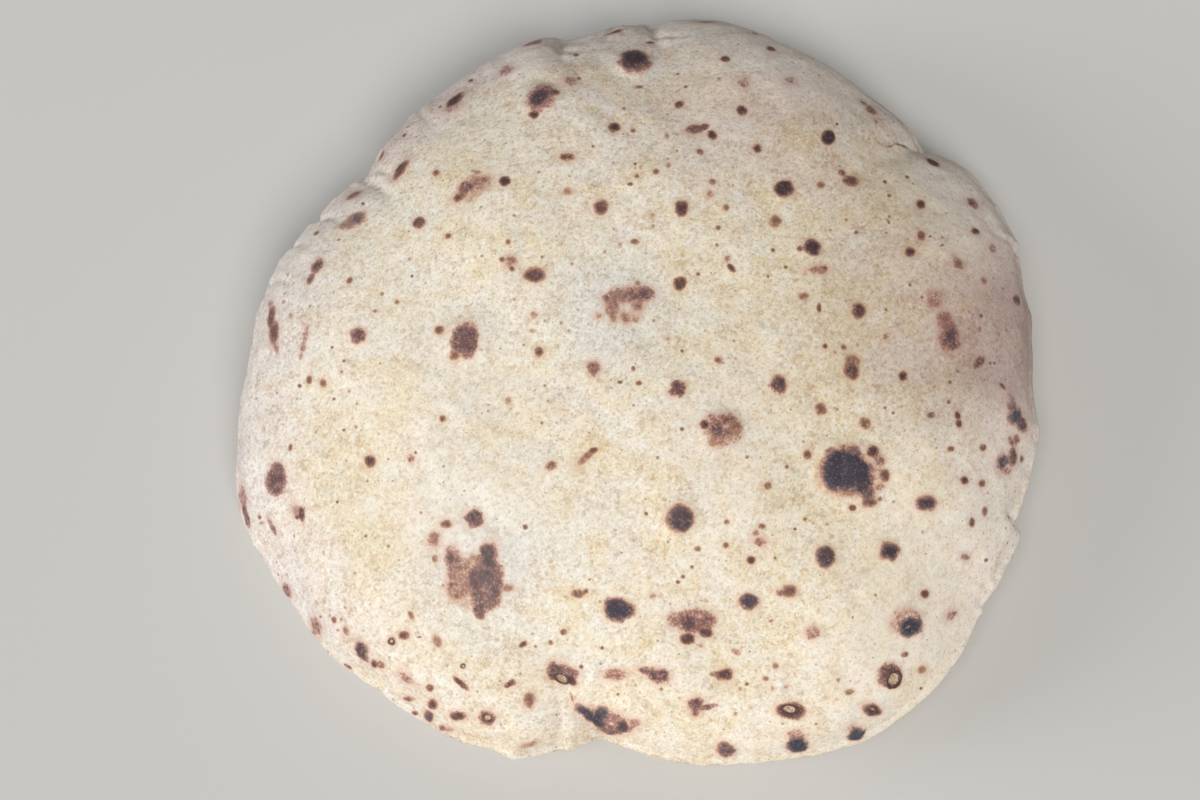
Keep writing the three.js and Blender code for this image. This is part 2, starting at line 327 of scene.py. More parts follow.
def surface(pq, top):
    """Point, outward direction and share of relief at places pq of the unit disc, on the dome or the underside."""
    s = np.clip(np.hypot(pq[:, 0], pq[:, 1]), 0, 1)
    t = np.arctan2(pq[:, 1], pq[:, 0])
    u, z, nr, nz = (
        np.where(top, np.interp(s, PROFILE[1][0], PROFILE[1][k]), np.interp(s, PROFILE[-1][0], PROFILE[-1][k]))
        for k in (1, 2, 3, 4)
    )
    lip = LIP_OUT * np.exp(-(((z - RIM_HEIGHT) / LIP_HALF_HEIGHT) ** 2)) * (u > 0)
    wide, sharp = rim_unevenness(t)
    sharp = sharp * u**NICK_FADE_POWER * np.exp(-(((z - RIM_HEIGHT) / NICK_REACH) ** 4))
    r = u * (round_radius(t) - LIP_OUT) + u**FADE_POWER * wide + sharp + lip
    c, d = np.cos(t), np.sin(t)
    rise = sway(t) * np.where(top, u**4, np.clip((u - FLAT_SHARE) / (1 - FLAT_SHARE), 0, 1) ** 2)
    r = r - rise * SWAY_LEAN * d
    p = np.stack((r * c, r * d, z + rise + fullness(np.clip(u, 0, 1), t) * top), -1)
    n = np.stack((nr * c, nr * d, nz), -1)
    share = bend((z - RIM_HEIGHT) / SKIN_FADE) * top
    return p + n * (relief(p[:, 0], p[:, 1]) * share)[:, None], n, share, u


# ------------------------------------------------------------------ the scorch marks
# Each mark: centre, width and height in pixels of the 1200 x 800 picture, the angle of the width
# (degrees, anticlockwise) and a letter: K black-brown, B grey-black, N blue-black, v violet-black, k dark,
# q purple-brown, s the same with a smooth outline, d dark brown, b brown, r reddish, m mauve,
# t tan, p a pin dot, g grey-blue char, w a paler spot in a mark. A seventh value is the
# direction in which the mark fades out, and an eighth how much. A ninth is its own peak of the
# burn, and a tenth its own core share.

# Three marks stand for shade, not scorch: 616 31.8, 609 33.5 and 650 43 paint the dark shade in small grooves at the
# top rim.
MARKS = """
455 100.8 23 9.5 44 k -50 .2 .98;452 109 17 9 20 m 0 0 .32;470.5 80.5 5 4 20 d 0 0 .62;440 107 4 4 0 p;506 71 18 12 15 m 0 0 .42 .3;408 127 4 4 0 t;404 135 5 3 50 p
380.5 156 13 11 60 b 0 0 .55 .5;401 170.5 23 7.5 53 k -35 .4 .94;353 195.5 18 7.5 20 k -70 .4 .63;363 204 4 4 0 p;436 173 8 8 0 b;505 180.7 11.5 11.5 0 b 0 0 .84 .46
474 187 44 24 33 t 0 0 .24 .7;476 184.5 32 14 28 r 0 0 .34 .5;466.5 188 17 13 20 m 0 0 .58 .4;459 197 13.5 8 35 k 0 0 .70 .3;485 180.5 12 7 15 r 0 0 .40 .5;476 172 14 5 -10 t 0 0 .34;464 125 3 3 0 t;531.5 43 20 9 15 g 190 .4 .60 .4;616 31.8 12 2.4 14 d 0 0 .62;609 33.5 10 2 18 t
650 43 8 3 0 p;634.5 60 34 32 0 v -60 .2 .80 .5;634 59 29 21 0 K 0 0 .96 .32;576 55 6 4 0 p;569.5 80.5 17 11 5 m 0 0 .38 .3;579 78 4 4 0 p;542 97 36 28 45 m 0 0 .42 .6;539.5 98 30 19 45 v 0 0 .86 .35;555.5 92 8 7 0 d
534 114.5 10 8 0 b 0 0 .86 .44;639 87 7 3 0 b;686 87 4 4 0 p;725 59.5 9 5.5 0 k 0 0 .74;744 82 14.5 12 0 m 0 0 .38 .2;742 84 5 5 0 m 0 0 .44;790 80.5 13 8 20 m 0 0 .34
771 48.7 9.5 5 5 d 0 0 .70;708 22 24 3 0 t;755 33 8 3 0 t;614 127 12 10.5 0 b 0 0 .84 .46;633 131 5 5 0 b;679 104.3 9.5 6.5 15 k 0 0 .74
742 110.5 9 12 35 b 0 0 .90;695 129 20 9 8 d;704 127 9 6 20 q 0 0 .74;712 135 10.5 7.5 -38 b 0 0 .98 .4;700 152 6.5 6.5 0 d;757 148.8 9 8.5 -30 b 0 0 .86;828 138 15.5 15.5 0 K 0 0 1.1 .62
567 157 15 8 0 d;656 172 7 6 0 b;637 176 5 5 0 p;630 184 6 3 0 p;668 165 7 7 0 t;635 164 3 3 0 p
539 172 5 3 0 t;593 146 3 3 0 p;567 192 14 10 0 t;667 136 5 8 0 t;678 74 3 3 0 p;624 109 3 3 0 p
871 110.5 15 9.5 -45 q 0 0 .50 .4;864 103 9 5 -35 m 0 0 .36;889 147 13 2.2 16 m 0 0 .34;898 145 13 2 -2 m 0 0 .36;904 145.8 8 2.2 -14 d 0 0 .54;876 122 6 6 0 t;819 76 3 3 0 t;837 124 3 3 0 p;842 173 8 6.5 -40 d 0 0 .64
851 181 17 9.5 -8 b 0 0 .66 .5;821 185 9 7 0 b;784 190 20 17 0 K;933 162.5 13.5 6.5 -28 k 0 0 .90 .5;972.5 204 14.5 9 -58 q 0 0 .56 .3;921 204 8.5 10.5 -10 d 0 0 .78
885 182 4 4 0 p;907 177 4 4 0 p;889 196 4 4 0 p;712 182 7 7 0 b;710 194 7 7 0 r;726 208 7 7 0 b
718 228 5 5 0 b;717 245 4 4 0 p;727 259 7 7 0 r;731 267.5 9.5 4.6 -50 k 0 0 .76;698 274 4 4 0 p;775 222 14 14 0 b
813 248 19 19 0 K;800 249 6 6 0 d;818 270 19 8 0 r;825 268 5 5 0 d;773 250 4 4 0 p;786 267 4 4 0 p
768 276 3 3 0 p;804 296 11 8 0 b;819 308 4 8 0 d;858 311 15.5 15.5 0 k 0 0 .86;910 252 11 9 0 d 0 0 .84;889 217 3 3 0 p
889 223 2.6 2.6 0 p;887.5 220.5 2 2 0 p;874.7 218.4 3 2 0 t;856 233 4 4 0 p;846 220 4 4 0 t;846 301 3 3 0 t;920.5 236.5 7.5 10.5 10 d 0 0 .62
975 232 9 7 0 d 0 0 .74;992.5 249 11 8 -55 m 0 0 .4;942.3 237.6 2.4 2.4 0 p;942 245.5 2.6 2.6 0 p;939.8 247 2 2 0 p;957.5 263.5 15 8 -62 q 0 0 .50 .3
929.4 237 2.6 2.4 0 p;356 221 28 16 28 g 0 0 .42 .5;358.5 219 15 15 0 g 0 0 .62 .2;344 226 11 9 20 b 0 0 .42;339 240 3 3 0 p;316 233 6 5 0 d;419 223 13.5 13 0 s 0 0 .66 .5;448 236 7 7 0 b
318 266 17 11 60 d;311 279 13 6 60 d;350 281 8 5 60 b;288 275 3 5 0 t;271 304 8 8 0 r;272 317 7 24 -5 d
275 333 10 26 -5 d;277 347 5 14 0 m;284 302 5 5 0 t;291 316 5 8 0 t;409 259 4 4 0 t;412 276 3 3 0 p
382 294 5 5 0 t;397 302 5 5 0 b;375 311 5 5 0 t;306 334 15 6 75 r;303 346 14 6 75 r;301 356 8 4 80 t
358 336 18 18 0 q;309 380 5 8 0 d;323 383 7 9 0 b;299 386 4 4 0 p;344 361 3 3 0 p;342 372 4 4 0 t
332 347 3 3 0 p;349 391 4 4 0 t;334 399 3 3 0 p;356 427 4 4 0 t;344 430 3 3 0 p;443 419 7 7 0 b
370 461 11.5 12.5 0 d 0 0 .76;411 459 7 10 0 m;416 453 3 3 0 p;290 447.5 3.2 6 -8 d 0 0 .6;276.5 481 20 29 0 s;278 472.5 14.5 22 6 s;242.5 497 8 22 6 m 0 0 .40 .5;244.5 510 4 12 10 v 0 0 .62
247.5 520 4 15 14 v 0 0 .60;260 517 4 4 0 d;262 523 3 7 -70 m;272 525 17 4 -62 q 120 .6;302 514 5 14 4 k;298 517 5 4 0 d;296 511 10 15 0 t;304 509 4 6 0 r;337 502 3 3 0 p;366 536 3 3 0 p
287.5 590 7.5 15 22 q 0 0 .60 .4;355 573 4 4 0 t;421 513 4 4 0 t;601 208 16 15 50 d;681 209 12.5 17.5 0 d 0 0 .86;652 216 7 7 0 t
653 226 3 3 0 p;635 242 9 6 0 b;620 245 6 6 0 t;508 242 5 6 0 b;510 262 14 14 0 r;512 269 5 5 0 d
502 260 5 5 0 d;534 275 22 14 0 d;542 257 3 3 0 p;572 264 4 4 0 t;605 252 4 4 0 t;680 283.5 12.5 15 -20 b 0 0 .80 .48

637 283 8 6 0 t;534 315 10 9 0 t;532 331 10 5 0 t;561 323 4 5 0 t;440 330 10 9 0 d;465 339 27 37 0 q 0 0 .67 .6
454 355 12 12 0 b;539 352 8 10 0 d;594 368.5 14 17 0 r 0 0 .53 .3;592 364 7 7 0 r 0 0 .46;678 388.5 17.5 18 0 q 0 0 .66 .6;672.5 393 9 9 0 r 0 0 .56;633.4 368.5 4 5 0 p;639 383 6 4.5 0 b 0 0 .6
620 382 5 3 0 p;682 351 3 3 0 p;508 401 8 9 0 t;548 401 4 4 0 t;568 388 4 4 0 t;542 423 3 3 0 p
682 429 4 4 0 p;551 466 12 10 0 b;586 457.5 24 8 42 b 0 0 .46;593.5 450.5 9 5.5 30 d 0 0 .62;654 321 4 4 0 t;668 339 4 4 0 t;718.5 361 10.5 9 -30 t 0 0 .42;717.5 360 5 4.5 0 b 0 0 .5
779 385 18.5 18.5 0 q 0 0 .78;825 346 5 5 0 d;844 347 6 6 0 d;835 352 4 4 0 t;852 362 18 20 0 b;852 371 17 16 0 d 0 0 .80
903 376 8.5 9.5 0 b 0 0 .92;886 337 9 9 0 t;821 410 13 14 0 b;865 423 12 13 0 b;704.5 425 9 9.5 0 b 0 0 .84
807 455 9 10 0 d;935 300 18 22 20 r;950 338 22 32 0 q 0 0 .66 .4;950.5 337 12 16 0 v 0 0 .66 .3;946 320 18 20 0 r
1016.8 300.5 7 12 18 v 0 0 .72 .35;983.5 281 5 9 18 v 0 0 .42;979.8 362 15 9.5 40 d 0 0 .70 .4;976 366 5 6 0 b;991 363 3 3 0 p;995 363 3 3 0 p;981 316 4 4 0 p
979 330 3.5 6 10 v 0 0 .34;1002 386 8 3 -50 d 0 0 .62;958 371 3 3 0 p;950 382 4 4 0 p;922 297 3 3 0 p;910 285 3 3 0 p
886 310 3 3 0 p;931 415 8 6 30 g 0 0 .56 .3;957.5 415.5 5 8 10 k 0 0 .78;958.5 423.5 5.5 8 10 k 0 0 .72;949 402 4 4 0 p;885 408 3 3 0 p;893 413 3 3 0 p
1010 403 8 22 12 v 90 .6 .62 .4;1014 417 16 19 10 N 0 0 .76 .35;1020.5 424 10.5 20 25 v 0 0 .74 .35;1010.5 441 6 9 20 q 0 0 .50;1016.5 439.5 6 11 -10 r 0 0 .58;1013 442 12 13 0 r 0 0 .26;1001.5 462 10 17 -8 N 0 0 .72 .32;1012 457.5 8.5 20 -5 v 0 0 .70 .35;1006.5 460 9 9 0 v 0 0 .54;1007 471 13 9 0 r 0 0 .36
1006 472 6 6 0 r;1022 459 5 7 0 r 0 0 .5;983 447.7 7.5 6.5 0 d;951 449 7 5 0 b 0 0 .58;964.4 480.7 9 8 30 k 0 0 .8;982.5 483.3 8 8 0 d 0 0 .66
846 471.5 56 46 -12 q 0 0 .60 .66;846.5 471 51 37 -10 N 0 0 1.0 .48;861 483 25 20 -35 B 0 0 .80 .45;832 480 22 18 -30 N 0 0 .86 .4
867 492 19 16 -45 v 0 0 .66 .3;869 502.5 16 10 8 d 0 0 .60 .4;854 451.5 15 13 0 q 0 0 .56 .3;872.5 452 10.5 12 -50 k
879 461 11 12 -50 q 0 0 .50 .4;884.5 475.5 10.5 13 0 d 0 0 .66 .45;880 487 10 8 20 r 0 0 .42;820 474 14 30 0 t 0 0 .22 .5;875 472 13 20 0 r 0 0 .17 .6
842 493 42 9 -8 t 0 0 .24 .5;880 499 4.5 4.5 0 p;852.5 508 7.5 5.5 0 b 0 0 .72;768 486 8 8 0 b
787 467 4 4 0 p;747 457 3 3 0 p;680 519 27 29 0 B;646 514 4 4 0 p;727 522 5 5 0 b;726 545 6 6 0 b
698 549 7 5 0 b;762 526 7 5 0 d;756 533 8 9 0 t;760 542 14 10 0 r;751 560 8.5 7.5 0 b 0 0 .78;795 529 3 3 0 p
805 519 4 4 0 p;692 567 3 3 0 p;683 577 5 5 0 p;678 582 4 4 0 p;775 558 3 3 0 p;825 557 18 23 0 B 0 0 .79
889 551 23 20 0 B 0 0 .96 .30;926 504 23 16 0 B 0 0 .94 .30;984.8 511.2 5 9.5 -10 b 0 0 .56;971.8 522.5 5 8.5 0 d 0 0 .74;1008.7 517.8 3 4 0 p;923 532 3 4 0 t;789.5 590.5 17 13 -12 d 0 0 .63 .35
780 592.5 10 7 0 r 0 0 .48;749 602 20 15.5 0 B 0 0 .92 .36;876 595 3 3 0 p;924.5 594.4 9 9 30 k 0 0 .72;965 557 12 6 0 m;952 615.5 12.5 8.5 35 m 0 0 .42
910 626 23.5 18 14 N 0 0 .92 .5;903.5 619.5 30 20 22 r 0 0 .23 .6;912 617 20 10 16 m 0 0 .30;905 654.4 6.5 4.5 20 b 0 0 .66;922 669.7 9 10 -40 b 0 0 .42 .4;921.3 688.6 3 3 0 p;889.5 675 22 24 -20 q 0 0 .66 .55;892.5 679 18 18 50 k 0 0 .9;872 709.5 18.5 12.5 -10 k 0 0 .78 .5
849.5 692 9.5 5 8 b 0 0 .46;855.5 733.5 16 15 0 N 0 0 .92;852 728 12 9 30 m 0 0 .30;797 744.5 20.5 18.5 0 N 0 0 .96;796 736.5 17 15 0 m 0 0 .42 .5;789.5 709.5 28 16.8 -8 k 0 0 .8 .6;725 749.5 17.5 15 -15 v 0 0 .69 .4;694.5 703 15.5 12 20 q 0 0 .64;696 711 9 11 -20 r 0 0 .5
707.5 707.5 18 5 12 q 0 0 .5;724 675 16 13 0 k 0 0 .84;715 674 10 4.5 5 d 0 0 .52;746.7 684 3.6 3.2 30 p;736 652 12 7 -30 t;700 646 9 4 -15 t 0 0 .3;775.5 666 6.5 6 0 b 0 0 .44
765.8 679 8 6 -20 t 0 0 .44;773 689 5 5 0 t;786 687 5 5 0 t;740 689 5 5 0 t;812 633 16 14 30 r 0 0 .32 .5;771 621 5 5 0 t
838 680 5 5 0 t;735.5 714 5 4 0 t;986 560 4 4 0 p
474 519 20 18 0 q 0 0 .80
446 524 12 8 0 d;434 540 13.5 17 0 r 0 0 .46;435 559 7 8 0 b 0 0 .44;525 527 5 5 0 p;578 594 15 8 0 b;586 591 4 4 0 d
653 596 9 8 0 t;619 610 29.5 20.5 -6 v 0 0 .88 .6;617 610 21 14 0 N 0 0 .98;692 622 46 22 0 m 0 0 .40 .8;689 622 22 14 0 m 0 0 .66 .5;706 620 20 12 10 r 0 0 .50 .4;674 618 10 10 0 r;706 633 13 9 -8 k;687.5 639 15 10 0 k
697 629 12 10 0 r;563.5 632 7 6.5 0 b 0 0 .60;550.5 643 6 5 -20 t 0 0 .46;523 644.5 8 5 35 d 0 0 .74;535.5 646.5 4 3 0 t;532.5 634 4 3 0 t;602 648 3 3 0 p
561.5 672.5 27 17 -28 v 70 .5 .78 .5;555 668.5 15 11 -30 q 0 0 .72 .35;571 680 12 8 -35 k 0 0 .84 .4;552 676 9 8 -50 k 0 0 .7;549 671 9 10 0 t;572 673 16 11 -30 m 0 0 .42 .4;581 667 4 4 0 p;615 674 23 13 0 r 0 0 .40 .6;659 675 23 15 -10 q 0 0 .62 .5;647 671 16 7 -12 q 0 0 .52 .5;509 684.5 9 5 25 d 0 0 .7;512.5 682.5 6 6 0 d 0 0 .66
528.5 700 13 15 0 d 0 0 .54 .3;488 717 17 14 0 q;459 715 15 8 0 k;461 683 17 5 -40 k;530 744 22 7 15 t;604 719.5 56 19 -20 m 0 0 .38 .7;588 714 28 9 -37 g 0 0 .82 .55
601 713.5 17 17 -10 g 0 0 .74 .4;598 721 18 9 -30 g 0 0 .80 .4;622.5 727 15 13 0 v 0 0 .82 .4;611 729 24 9 -12 q 0 0 .56 .4;615 717 13 8 10 r 0 0 .44 .4;634 723 15 9 10 r 0 0 .34 .4;612 723 5 4 0 w;572 699 3 12 16 t;618 694 3 3 0 p
661 689 3 3 0 p;316 625.5 10.5 19 12 r 0 0 .44 .5;334 620 5 6 0 d 0 0 .6;341 619.5 4 3 0 t;330 616 3 3 0 t;320 617 2.6 2.6 0 p;338 630 4 3 0 t
346 631.5 7 10 20 r 0 0 .42;362.5 651 11 20 18 v 0 0 .80 .46;366 659.5 7 8 0 r 0 0 .4;374.5 664 7 8 0 k 0 0 .72;381.5 664.5 8 8 0 d 0 0 .5;392 641 8 8 0 k;404 635 10 8 0 d;419 637 5 2 0 p
411.3 615 4.6 9.5 22 b 0 0 .44;437 641 9 16 25 t 0 0 .40 .3;406.5 678 17 7.5 -38 r 0 0 .44;430 688 7.5 6.5 0 b 0 0 .66;433.5 704 10 9 0 d 0 0 .7;409 698.6 11.5 5.5 0 r 0 0 .5
415 713 6 4 0 d;429 716 9 12 20 v 0 0 .72;442.5 727.5 6.5 5.5 0 d 0 0 .6;449 729 10 6 0 r 0 0 .3;348 666.5 8 2.8 -35 v 0 0 .5;463 666 5 5 0 d
476 582 64 62 0 t 0 0 .22 .8;486 582 37 66 0 m 0 0 .52 .66;454 566 17 40 8 m 0 0 .46 .5;460 588 28 32 0 r 0 0 .34 .5
465 572 18 24 0 r 0 0 .34 .5;488.5 557 18 29 6 v 0 0 .84 .5;487 577 24 26 0 v 0 0 .72 .4;474 580 13 30 8 q 0 0 .69 .4
495 592 14 22 0 v 0 0 .69 .3;478 597 20 22 0 q 0 0 .59 .3;488 604 20 13 20 q 0 0 .50 .4;480 611 12 16 15 q -60 .2 .74 .5
494 554 8 22 6 r 0 0 .46 .4;508 588 16 9 0 t;512 588 7 6 0 r 0 0 .36;451 585 4.5 5 0 d;457 596 6 6 0 d 0 0 .6;451 558 6 12 8 d 0 0 .66;443 586 5 5 0 t;466 555 9 10 0 w
626 304 48 38 0 t 0 0 .20 .7;631 295 45 16 4 r 0 0 .48 .6;645 294 20 14 -10 m 0 0 .60 .5;633 296.5 18 13 0 m 0 0 .54 .4
613 306 15 20 0 r 0 0 .44 .6;606.5 298 9 10 0 r 0 0 .52;637 305 11 17 0 r 0 0 .42 .4;626 318 11 13 10 r 0 0 .46;636 319 9 9 0 t
613.5 317 7 12 0 r 0 0 .46;598 316 9 8 0 r 0 0 .34;638 283 7 5 0 t;628 307 4 11 -8 w
722 430 40 36 0 r 0 0 .38 .6;724 420 24 14 10 r 0 0 .46 .4;718 431 20 20 0 m 0 0 .54 .4;718 431 11 12 0 g 0 0 .56 .3;735 428 13 12 0 b 0 0 .44
713 443 11 8 0 b 0 0 .38;726 421 8 7 0 r 0 0 .56;728 433 4.5 5 30 p
"""
# Craters where a blister burst: centre, width, height, angle, and 1 where the edge is charred. The half-pale centres at
# 828 561, 907 627 and 911.5 631 are painted highlights, glints on the char.
CRATERS = """
744 606 4 6 0 .2;629.5 611 4.5 3.5 0 .15;561.8 678.2 12.5 7 -27 1;893.3 679 14 10 60 1;789 708.5 13.5 7.5 -8 1;488 717 7 6 0 .8
872 709 5.5 4 0 .3;907 627 7.5 3.6 30 .22;911.5 631 3 4.5 -20 .15;380 664 4.5 3.5 0 .4;392 641 4 4 0 1;463 666 3 3 0 1;828 561 4 4 0 .2
745 429 4 3 0 0;594 366 3 4 0 0
"""
# peak of the burn, share of the size that is at the peak, redness, blue-black, halo round it
KINDS = {
    "K": (1.00, 0.54, 0.40, 0.30, 0.9), "B": (0.88, 0.54, 0.62, 0.50, 1.0), "N": (1.02, 0.50, 0.75, 1.0, 1.0),
    "v": (0.84, 0.46, 0.75, 0.45, 1.0),
    "k": (0.88, 0.44, 0.45, 0.15, 1.0), "q": (0.71, 0.44, 0.85, 0.22, 0.9), "s": (0.64, 0.70, 0.80, 0.28, 0.8),
    "d": (0.73, 0.42, 0.40, 0.14, 0.9), "b": (0.60, 0.34, 0.15, 0.20, 0.7), "r": (0.46, 0.28, 0.85, 0.0, 0.9),
    "m": (0.47, 0.28, 1.00, 0.25, 0.8), "t": (0.38, 0.10, 0.35, 0.20, 0.4), "p": (0.60, 0.25, 0.05, 0.75, 0.0),
    "g": (0.66, 0.40, 0.50, 0.9, 0.5), "w": (0, 0, 0, 0, 0),
}


def table_of(text):
    return [row.split() for row in text.replace("\n", ";").split(";") if row.strip()]


marks = [
    dict(
        x=float(r[0]), y=float(r[1]), a=float(r[2]) / 2, b=float(r[3]) / 2, turn=math.radians(float(r[4])), kind=r[5],
        fade=math.radians(float(r[6])) if len(r) > 6 else rng.uniform(0, 2 * math.pi),
        fading=float(r[7]) if len(r) > 7 else rng.uniform(0.0, 0.22),
        peak=float(r[8]) if len(r) > 8 else None, core=float(r[9]) if len(r) > 9 else None,
    )
    for r in table_of(MARKS)
]
craters = [
    dict(
        x=float(r[0]), y=float(r[1]), a=float(r[2]) / 2, b=float(r[3]) / 2, turn=math.radians(float(r[4])),
        charred=float(r[5]),
    )
    for r in table_of(CRATERS)
]


def ellipse(x, y, m, grow=0.0):
    """How far out points are in a mark, as a share of its half sizes."""
    c, s = math.cos(m["turn"]), -math.sin(m["turn"])
    dx, dy = x - m["x"], y - m["y"]
    return np.hypot((dx * c + dy * s) / (m["a"] + grow), (-dx * s + dy * c) / (m["b"] + grow))


# how fine the mesh has to be, over the picture
fine = np.full((800, 1200), 1.35)
gy, gx = np.mgrid[0:800, 0:1200]
for m in marks + craters:
    k = int(max(m["a"], m["b"]) * 1.5 + 8)
    x0, y0 = int(m["x"]), int(m["y"])
    win = (slice(max(0, y0 - k), y0 + k), slice(max(0, x0 - k), x0 + k))
    q = ellipse(gx[win], gy[win], m, 1.0)
    small = min(m["a"], m["b"])
    size = 0.27 if "charred" in m else 0.34 if small < 2.2 else 0.42 if small < 4 else 0.52
    fine[win] = np.where(q < 1.15, np.minimum(fine[win], size), fine[win])

# marks out of the picture's sight, on the underside
hidden = []
for i in range(95):
    t, r = rng.uniform(0, 2 * math.pi), 86 * math.sqrt(rng.uniform(0, 1))
    big = rng.uniform() < 0.12
    size = rng.uniform(3.0, 5.5) if big else rng.uniform(0.5, 2.4)
    hidden.append(
        dict(
            side=-1, at=(r * math.cos(t), r * math.sin(t)), a=size, b=size * rng.uniform(0.6, 1.0),
            turn=rng.uniform(0, math.pi), kind=rng.choice(list("kkddbrt")),
        )
    )
for i in range(70):
    t, r = rng.uniform(0, 2 * math.pi), 86 * math.sqrt(rng.uniform(0, 1))
    hidden.append(
        dict(side=-1, at=(r * math.cos(t), r * math.sin(t)), a=rng.uniform(0.25, 0.5), b=rng.uniform(0.25, 0.5), turn=0.0, kind="p")
    )


# ------------------------------------------------------------------ the mesh

def disc(rings):
    """Points and faces of a unit disc, ring i with 6 i points."""
    pts, start = [(0.0, 0.0)], [0]
    for i in range(1, rings + 1):
        start.append(len(pts))
        for k in range(6 * i):
            t = 2 * math.pi * k / (6 * i)
            pts.append((i / rings * math.cos(t), i / rings * math.sin(t)))
    faces = []
    for i in range(1, rings + 1):
        n, m = 6 * i, 6 * (i - 1)
        for side in range(6):
            for k in range(i):
                a = start[i] + (side * i + k) % n
                b = start[i] + (side * i + k + 1) % n
                c = start[i - 1] + ((side * (i - 1) + k) % m if m else 0)
                faces.append((a, b, c))
                if k < i - 1:
                    d = start[i - 1] + (side * (i - 1) + k + 1) % m
                    faces.append((c, b, d))
    return np.array(pts), np.array(faces), start[rings]


RINGS = 26
dpts, dfaces, rim_start = disc(RINGS)
n_in, n_all = rim_start, len(dpts)
# top disc in full, underside disc with the rim shared
pq = np.concatenate((dpts, dpts[:n_in]))
on_rim = np.concatenate((np.arange(n_all) >= n_in, np.zeros(n_in, bool)))
below = dfaces + n_all
below[dfaces >= n_in] = dfaces[dfaces >= n_in]
tris = np.concatenate((dfaces, below[:, ::-1]))
top_face = np.concatenate((np.ones(len(dfaces), bool), np.zeros(len(dfaces), bool)))
top_point = np.concatenate((np.ones(n_all, bool), np.zeros(n_in, bool)))

hid = np.array([h["at"] for h in hidden])
hid_size = np.array([max(h["a"], h["b"]) for h in hidden])


def wanted(mid, is_top):
    size = np.where(is_top, 1.35, 2.8)
    px = to_picture(mid)
    ix = np.clip(px[:, 0].astype(int), 0, 1199)
    iy = np.clip(px[:, 1].astype(int), 0, 799)
    size = np.where(is_top, np.minimum(size, fine[iy, ix]), size)
    near_rim = np.abs(mid[:, 2] - RIM_HEIGHT) < 3.0
    size = np.where(near_rim, np.minimum(size, np.where(is_top, 0.8, 1.2)), size)
    high = np.flatnonzero(is_top & (np.hypot(mid[:, 0], mid[:, 1]) > 60))
    for path, width, _, _ in FOLDS:
        xs, ys = path[0::2], path[1::2]
        x, y = mid[high, 0], mid[high, 1]
        k = high[(x > min(xs) - 2) & (x < max(xs) + 2) & (y > min(ys) - 2) & (y < max(ys) + 2)]
        if len(k):
            k = k[near_curve(path, mid[k, 0], mid[k, 1])[0] < 2 * width]
            size[k] = np.minimum(size[k], 0.6)
    low = np.flatnonzero(~is_top)
    for (hx, hy), hs in zip(hid, hid_size):
        d = np.hypot(mid[low, 0] - hx, mid[low, 1] - hy)
        k = low[d < hs * 1.25 + 0.3]
        size[k] = np.minimum(size[k], 0.55 if hs < 0.8 else 0.95)
    return size


def refine(pq, on_rim, top_point, tris, top_face, passes=26):
    for step in range(passes):
        p = surface(pq, top_point)[0]
        e = np.concatenate((tris[:, [0, 1]], tris[:, [1, 2]], tris[:, [2, 0]]))
        e.sort(axis=1)
        key = e[:, 0].astype(np.int64) * len(pq) + e[:, 1]
        uniq, inv = np.unique(key, return_inverse=True)
        inv = inv.reshape(3, -1).T
        ends = np.stack((uniq // len(pq), uniq % len(pq)), -1)
        length = np.linalg.norm(p[ends[:, 0]] - p[ends[:, 1]], axis=1) * (1 + 1e-7 * (np.arange(len(uniq)) % 97))
        lens = length[inv]
        longest = lens.argmax(1)
        row = np.arange(len(tris))
        mid = p[tris].mean(1)
        want = lens[row, longest] > wanted(mid, top_face) * 1.3
        if not want.any():
            break
        marked = np.zeros(len(uniq), bool)
        marked[inv[row, longest][want]] = True
        while True:
            any_marked = marked[inv].any(1)
            need = any_marked & ~marked[inv[row, longest]]
            if not need.any():
                break
            marked[inv[row, longest][need]] = True
        ids = np.full(len(uniq), -1)
        ids[marked] = len(pq) + np.arange(marked.sum())
        me = ends[marked]
        mpq = (pq[me[:, 0]] + pq[me[:, 1]]) / 2
        both = on_rim[me[:, 0]] & on_rim[me[:, 1]]
        near = np.hypot(mpq[:, 0], mpq[:, 1])
        mpq[both] /= near[both, None]
        mtop = np.where(on_rim[me[:, 0]], top_point[me[:, 1]], top_point[me[:, 0]])
        pq = np.concatenate((pq, mpq))
        on_rim = np.concatenate((on_rim, both))
        top_point = np.concatenate((top_point, mtop | both))
        # turn each face so that its longest edge comes first, then cut
        k = longest
        v = tris[row[:, None], (k[:, None] + np.arange(3)) % 3]
        f = inv[row[:, None], (k[:, None] + np.arange(3)) % 3]
        m0, m1, m2 = ids[f[:, 0]], ids[f[:, 1]], ids[f[:, 2]]
        cut = m0 >= 0
        out, side = [tris[~cut]], [top_face[~cut]]
        v0, v1, v2 = v[:, 0], v[:, 1], v[:, 2]
        a = cut & (m2 < 0)
        out.append(np.stack((v0, m0, v2), -1)[a]); side.append(top_face[a])
        a = cut & (m2 >= 0)
        out.append(np.stack((v0, m0, m2), -1)[a]); side.append(top_face[a])
        out.append(np.stack((m2, m0, v2), -1)[a]); side.append(top_face[a])
        a = cut & (m1 < 0)
        out.append(np.stack((m0, v1, v2), -1)[a]); side.append(top_face[a])
        a = cut & (m1 >= 0)
        out.append(np.stack((m0, v1, m1), -1)[a]); side.append(top_face[a])
        out.append(np.stack((m0, m1, v2), -1)[a]); side.append(top_face[a])
        tris, top_face = np.concatenate(out), np.concatenate(side)
    return pq, on_rim, top_point, tris, top_face


pq, on_rim, top_point, tris, top_face = refine(pq, on_rim, top_point, tris, top_face)
P, N, share, U = surface(pq, top_point)
print("mesh", len(pq), "points", len(tris), "faces,", int(top_face.sum()), "on top")

# ------------------------------------------------------------------ marks on the mesh

n = len(P)
pix = to_picture(P)
facing = ((EYE - P) * N).sum(1) > 0
seen = top_point & facing
MM = DISTANCE / FOCAL_PX  # millimetres to a pixel

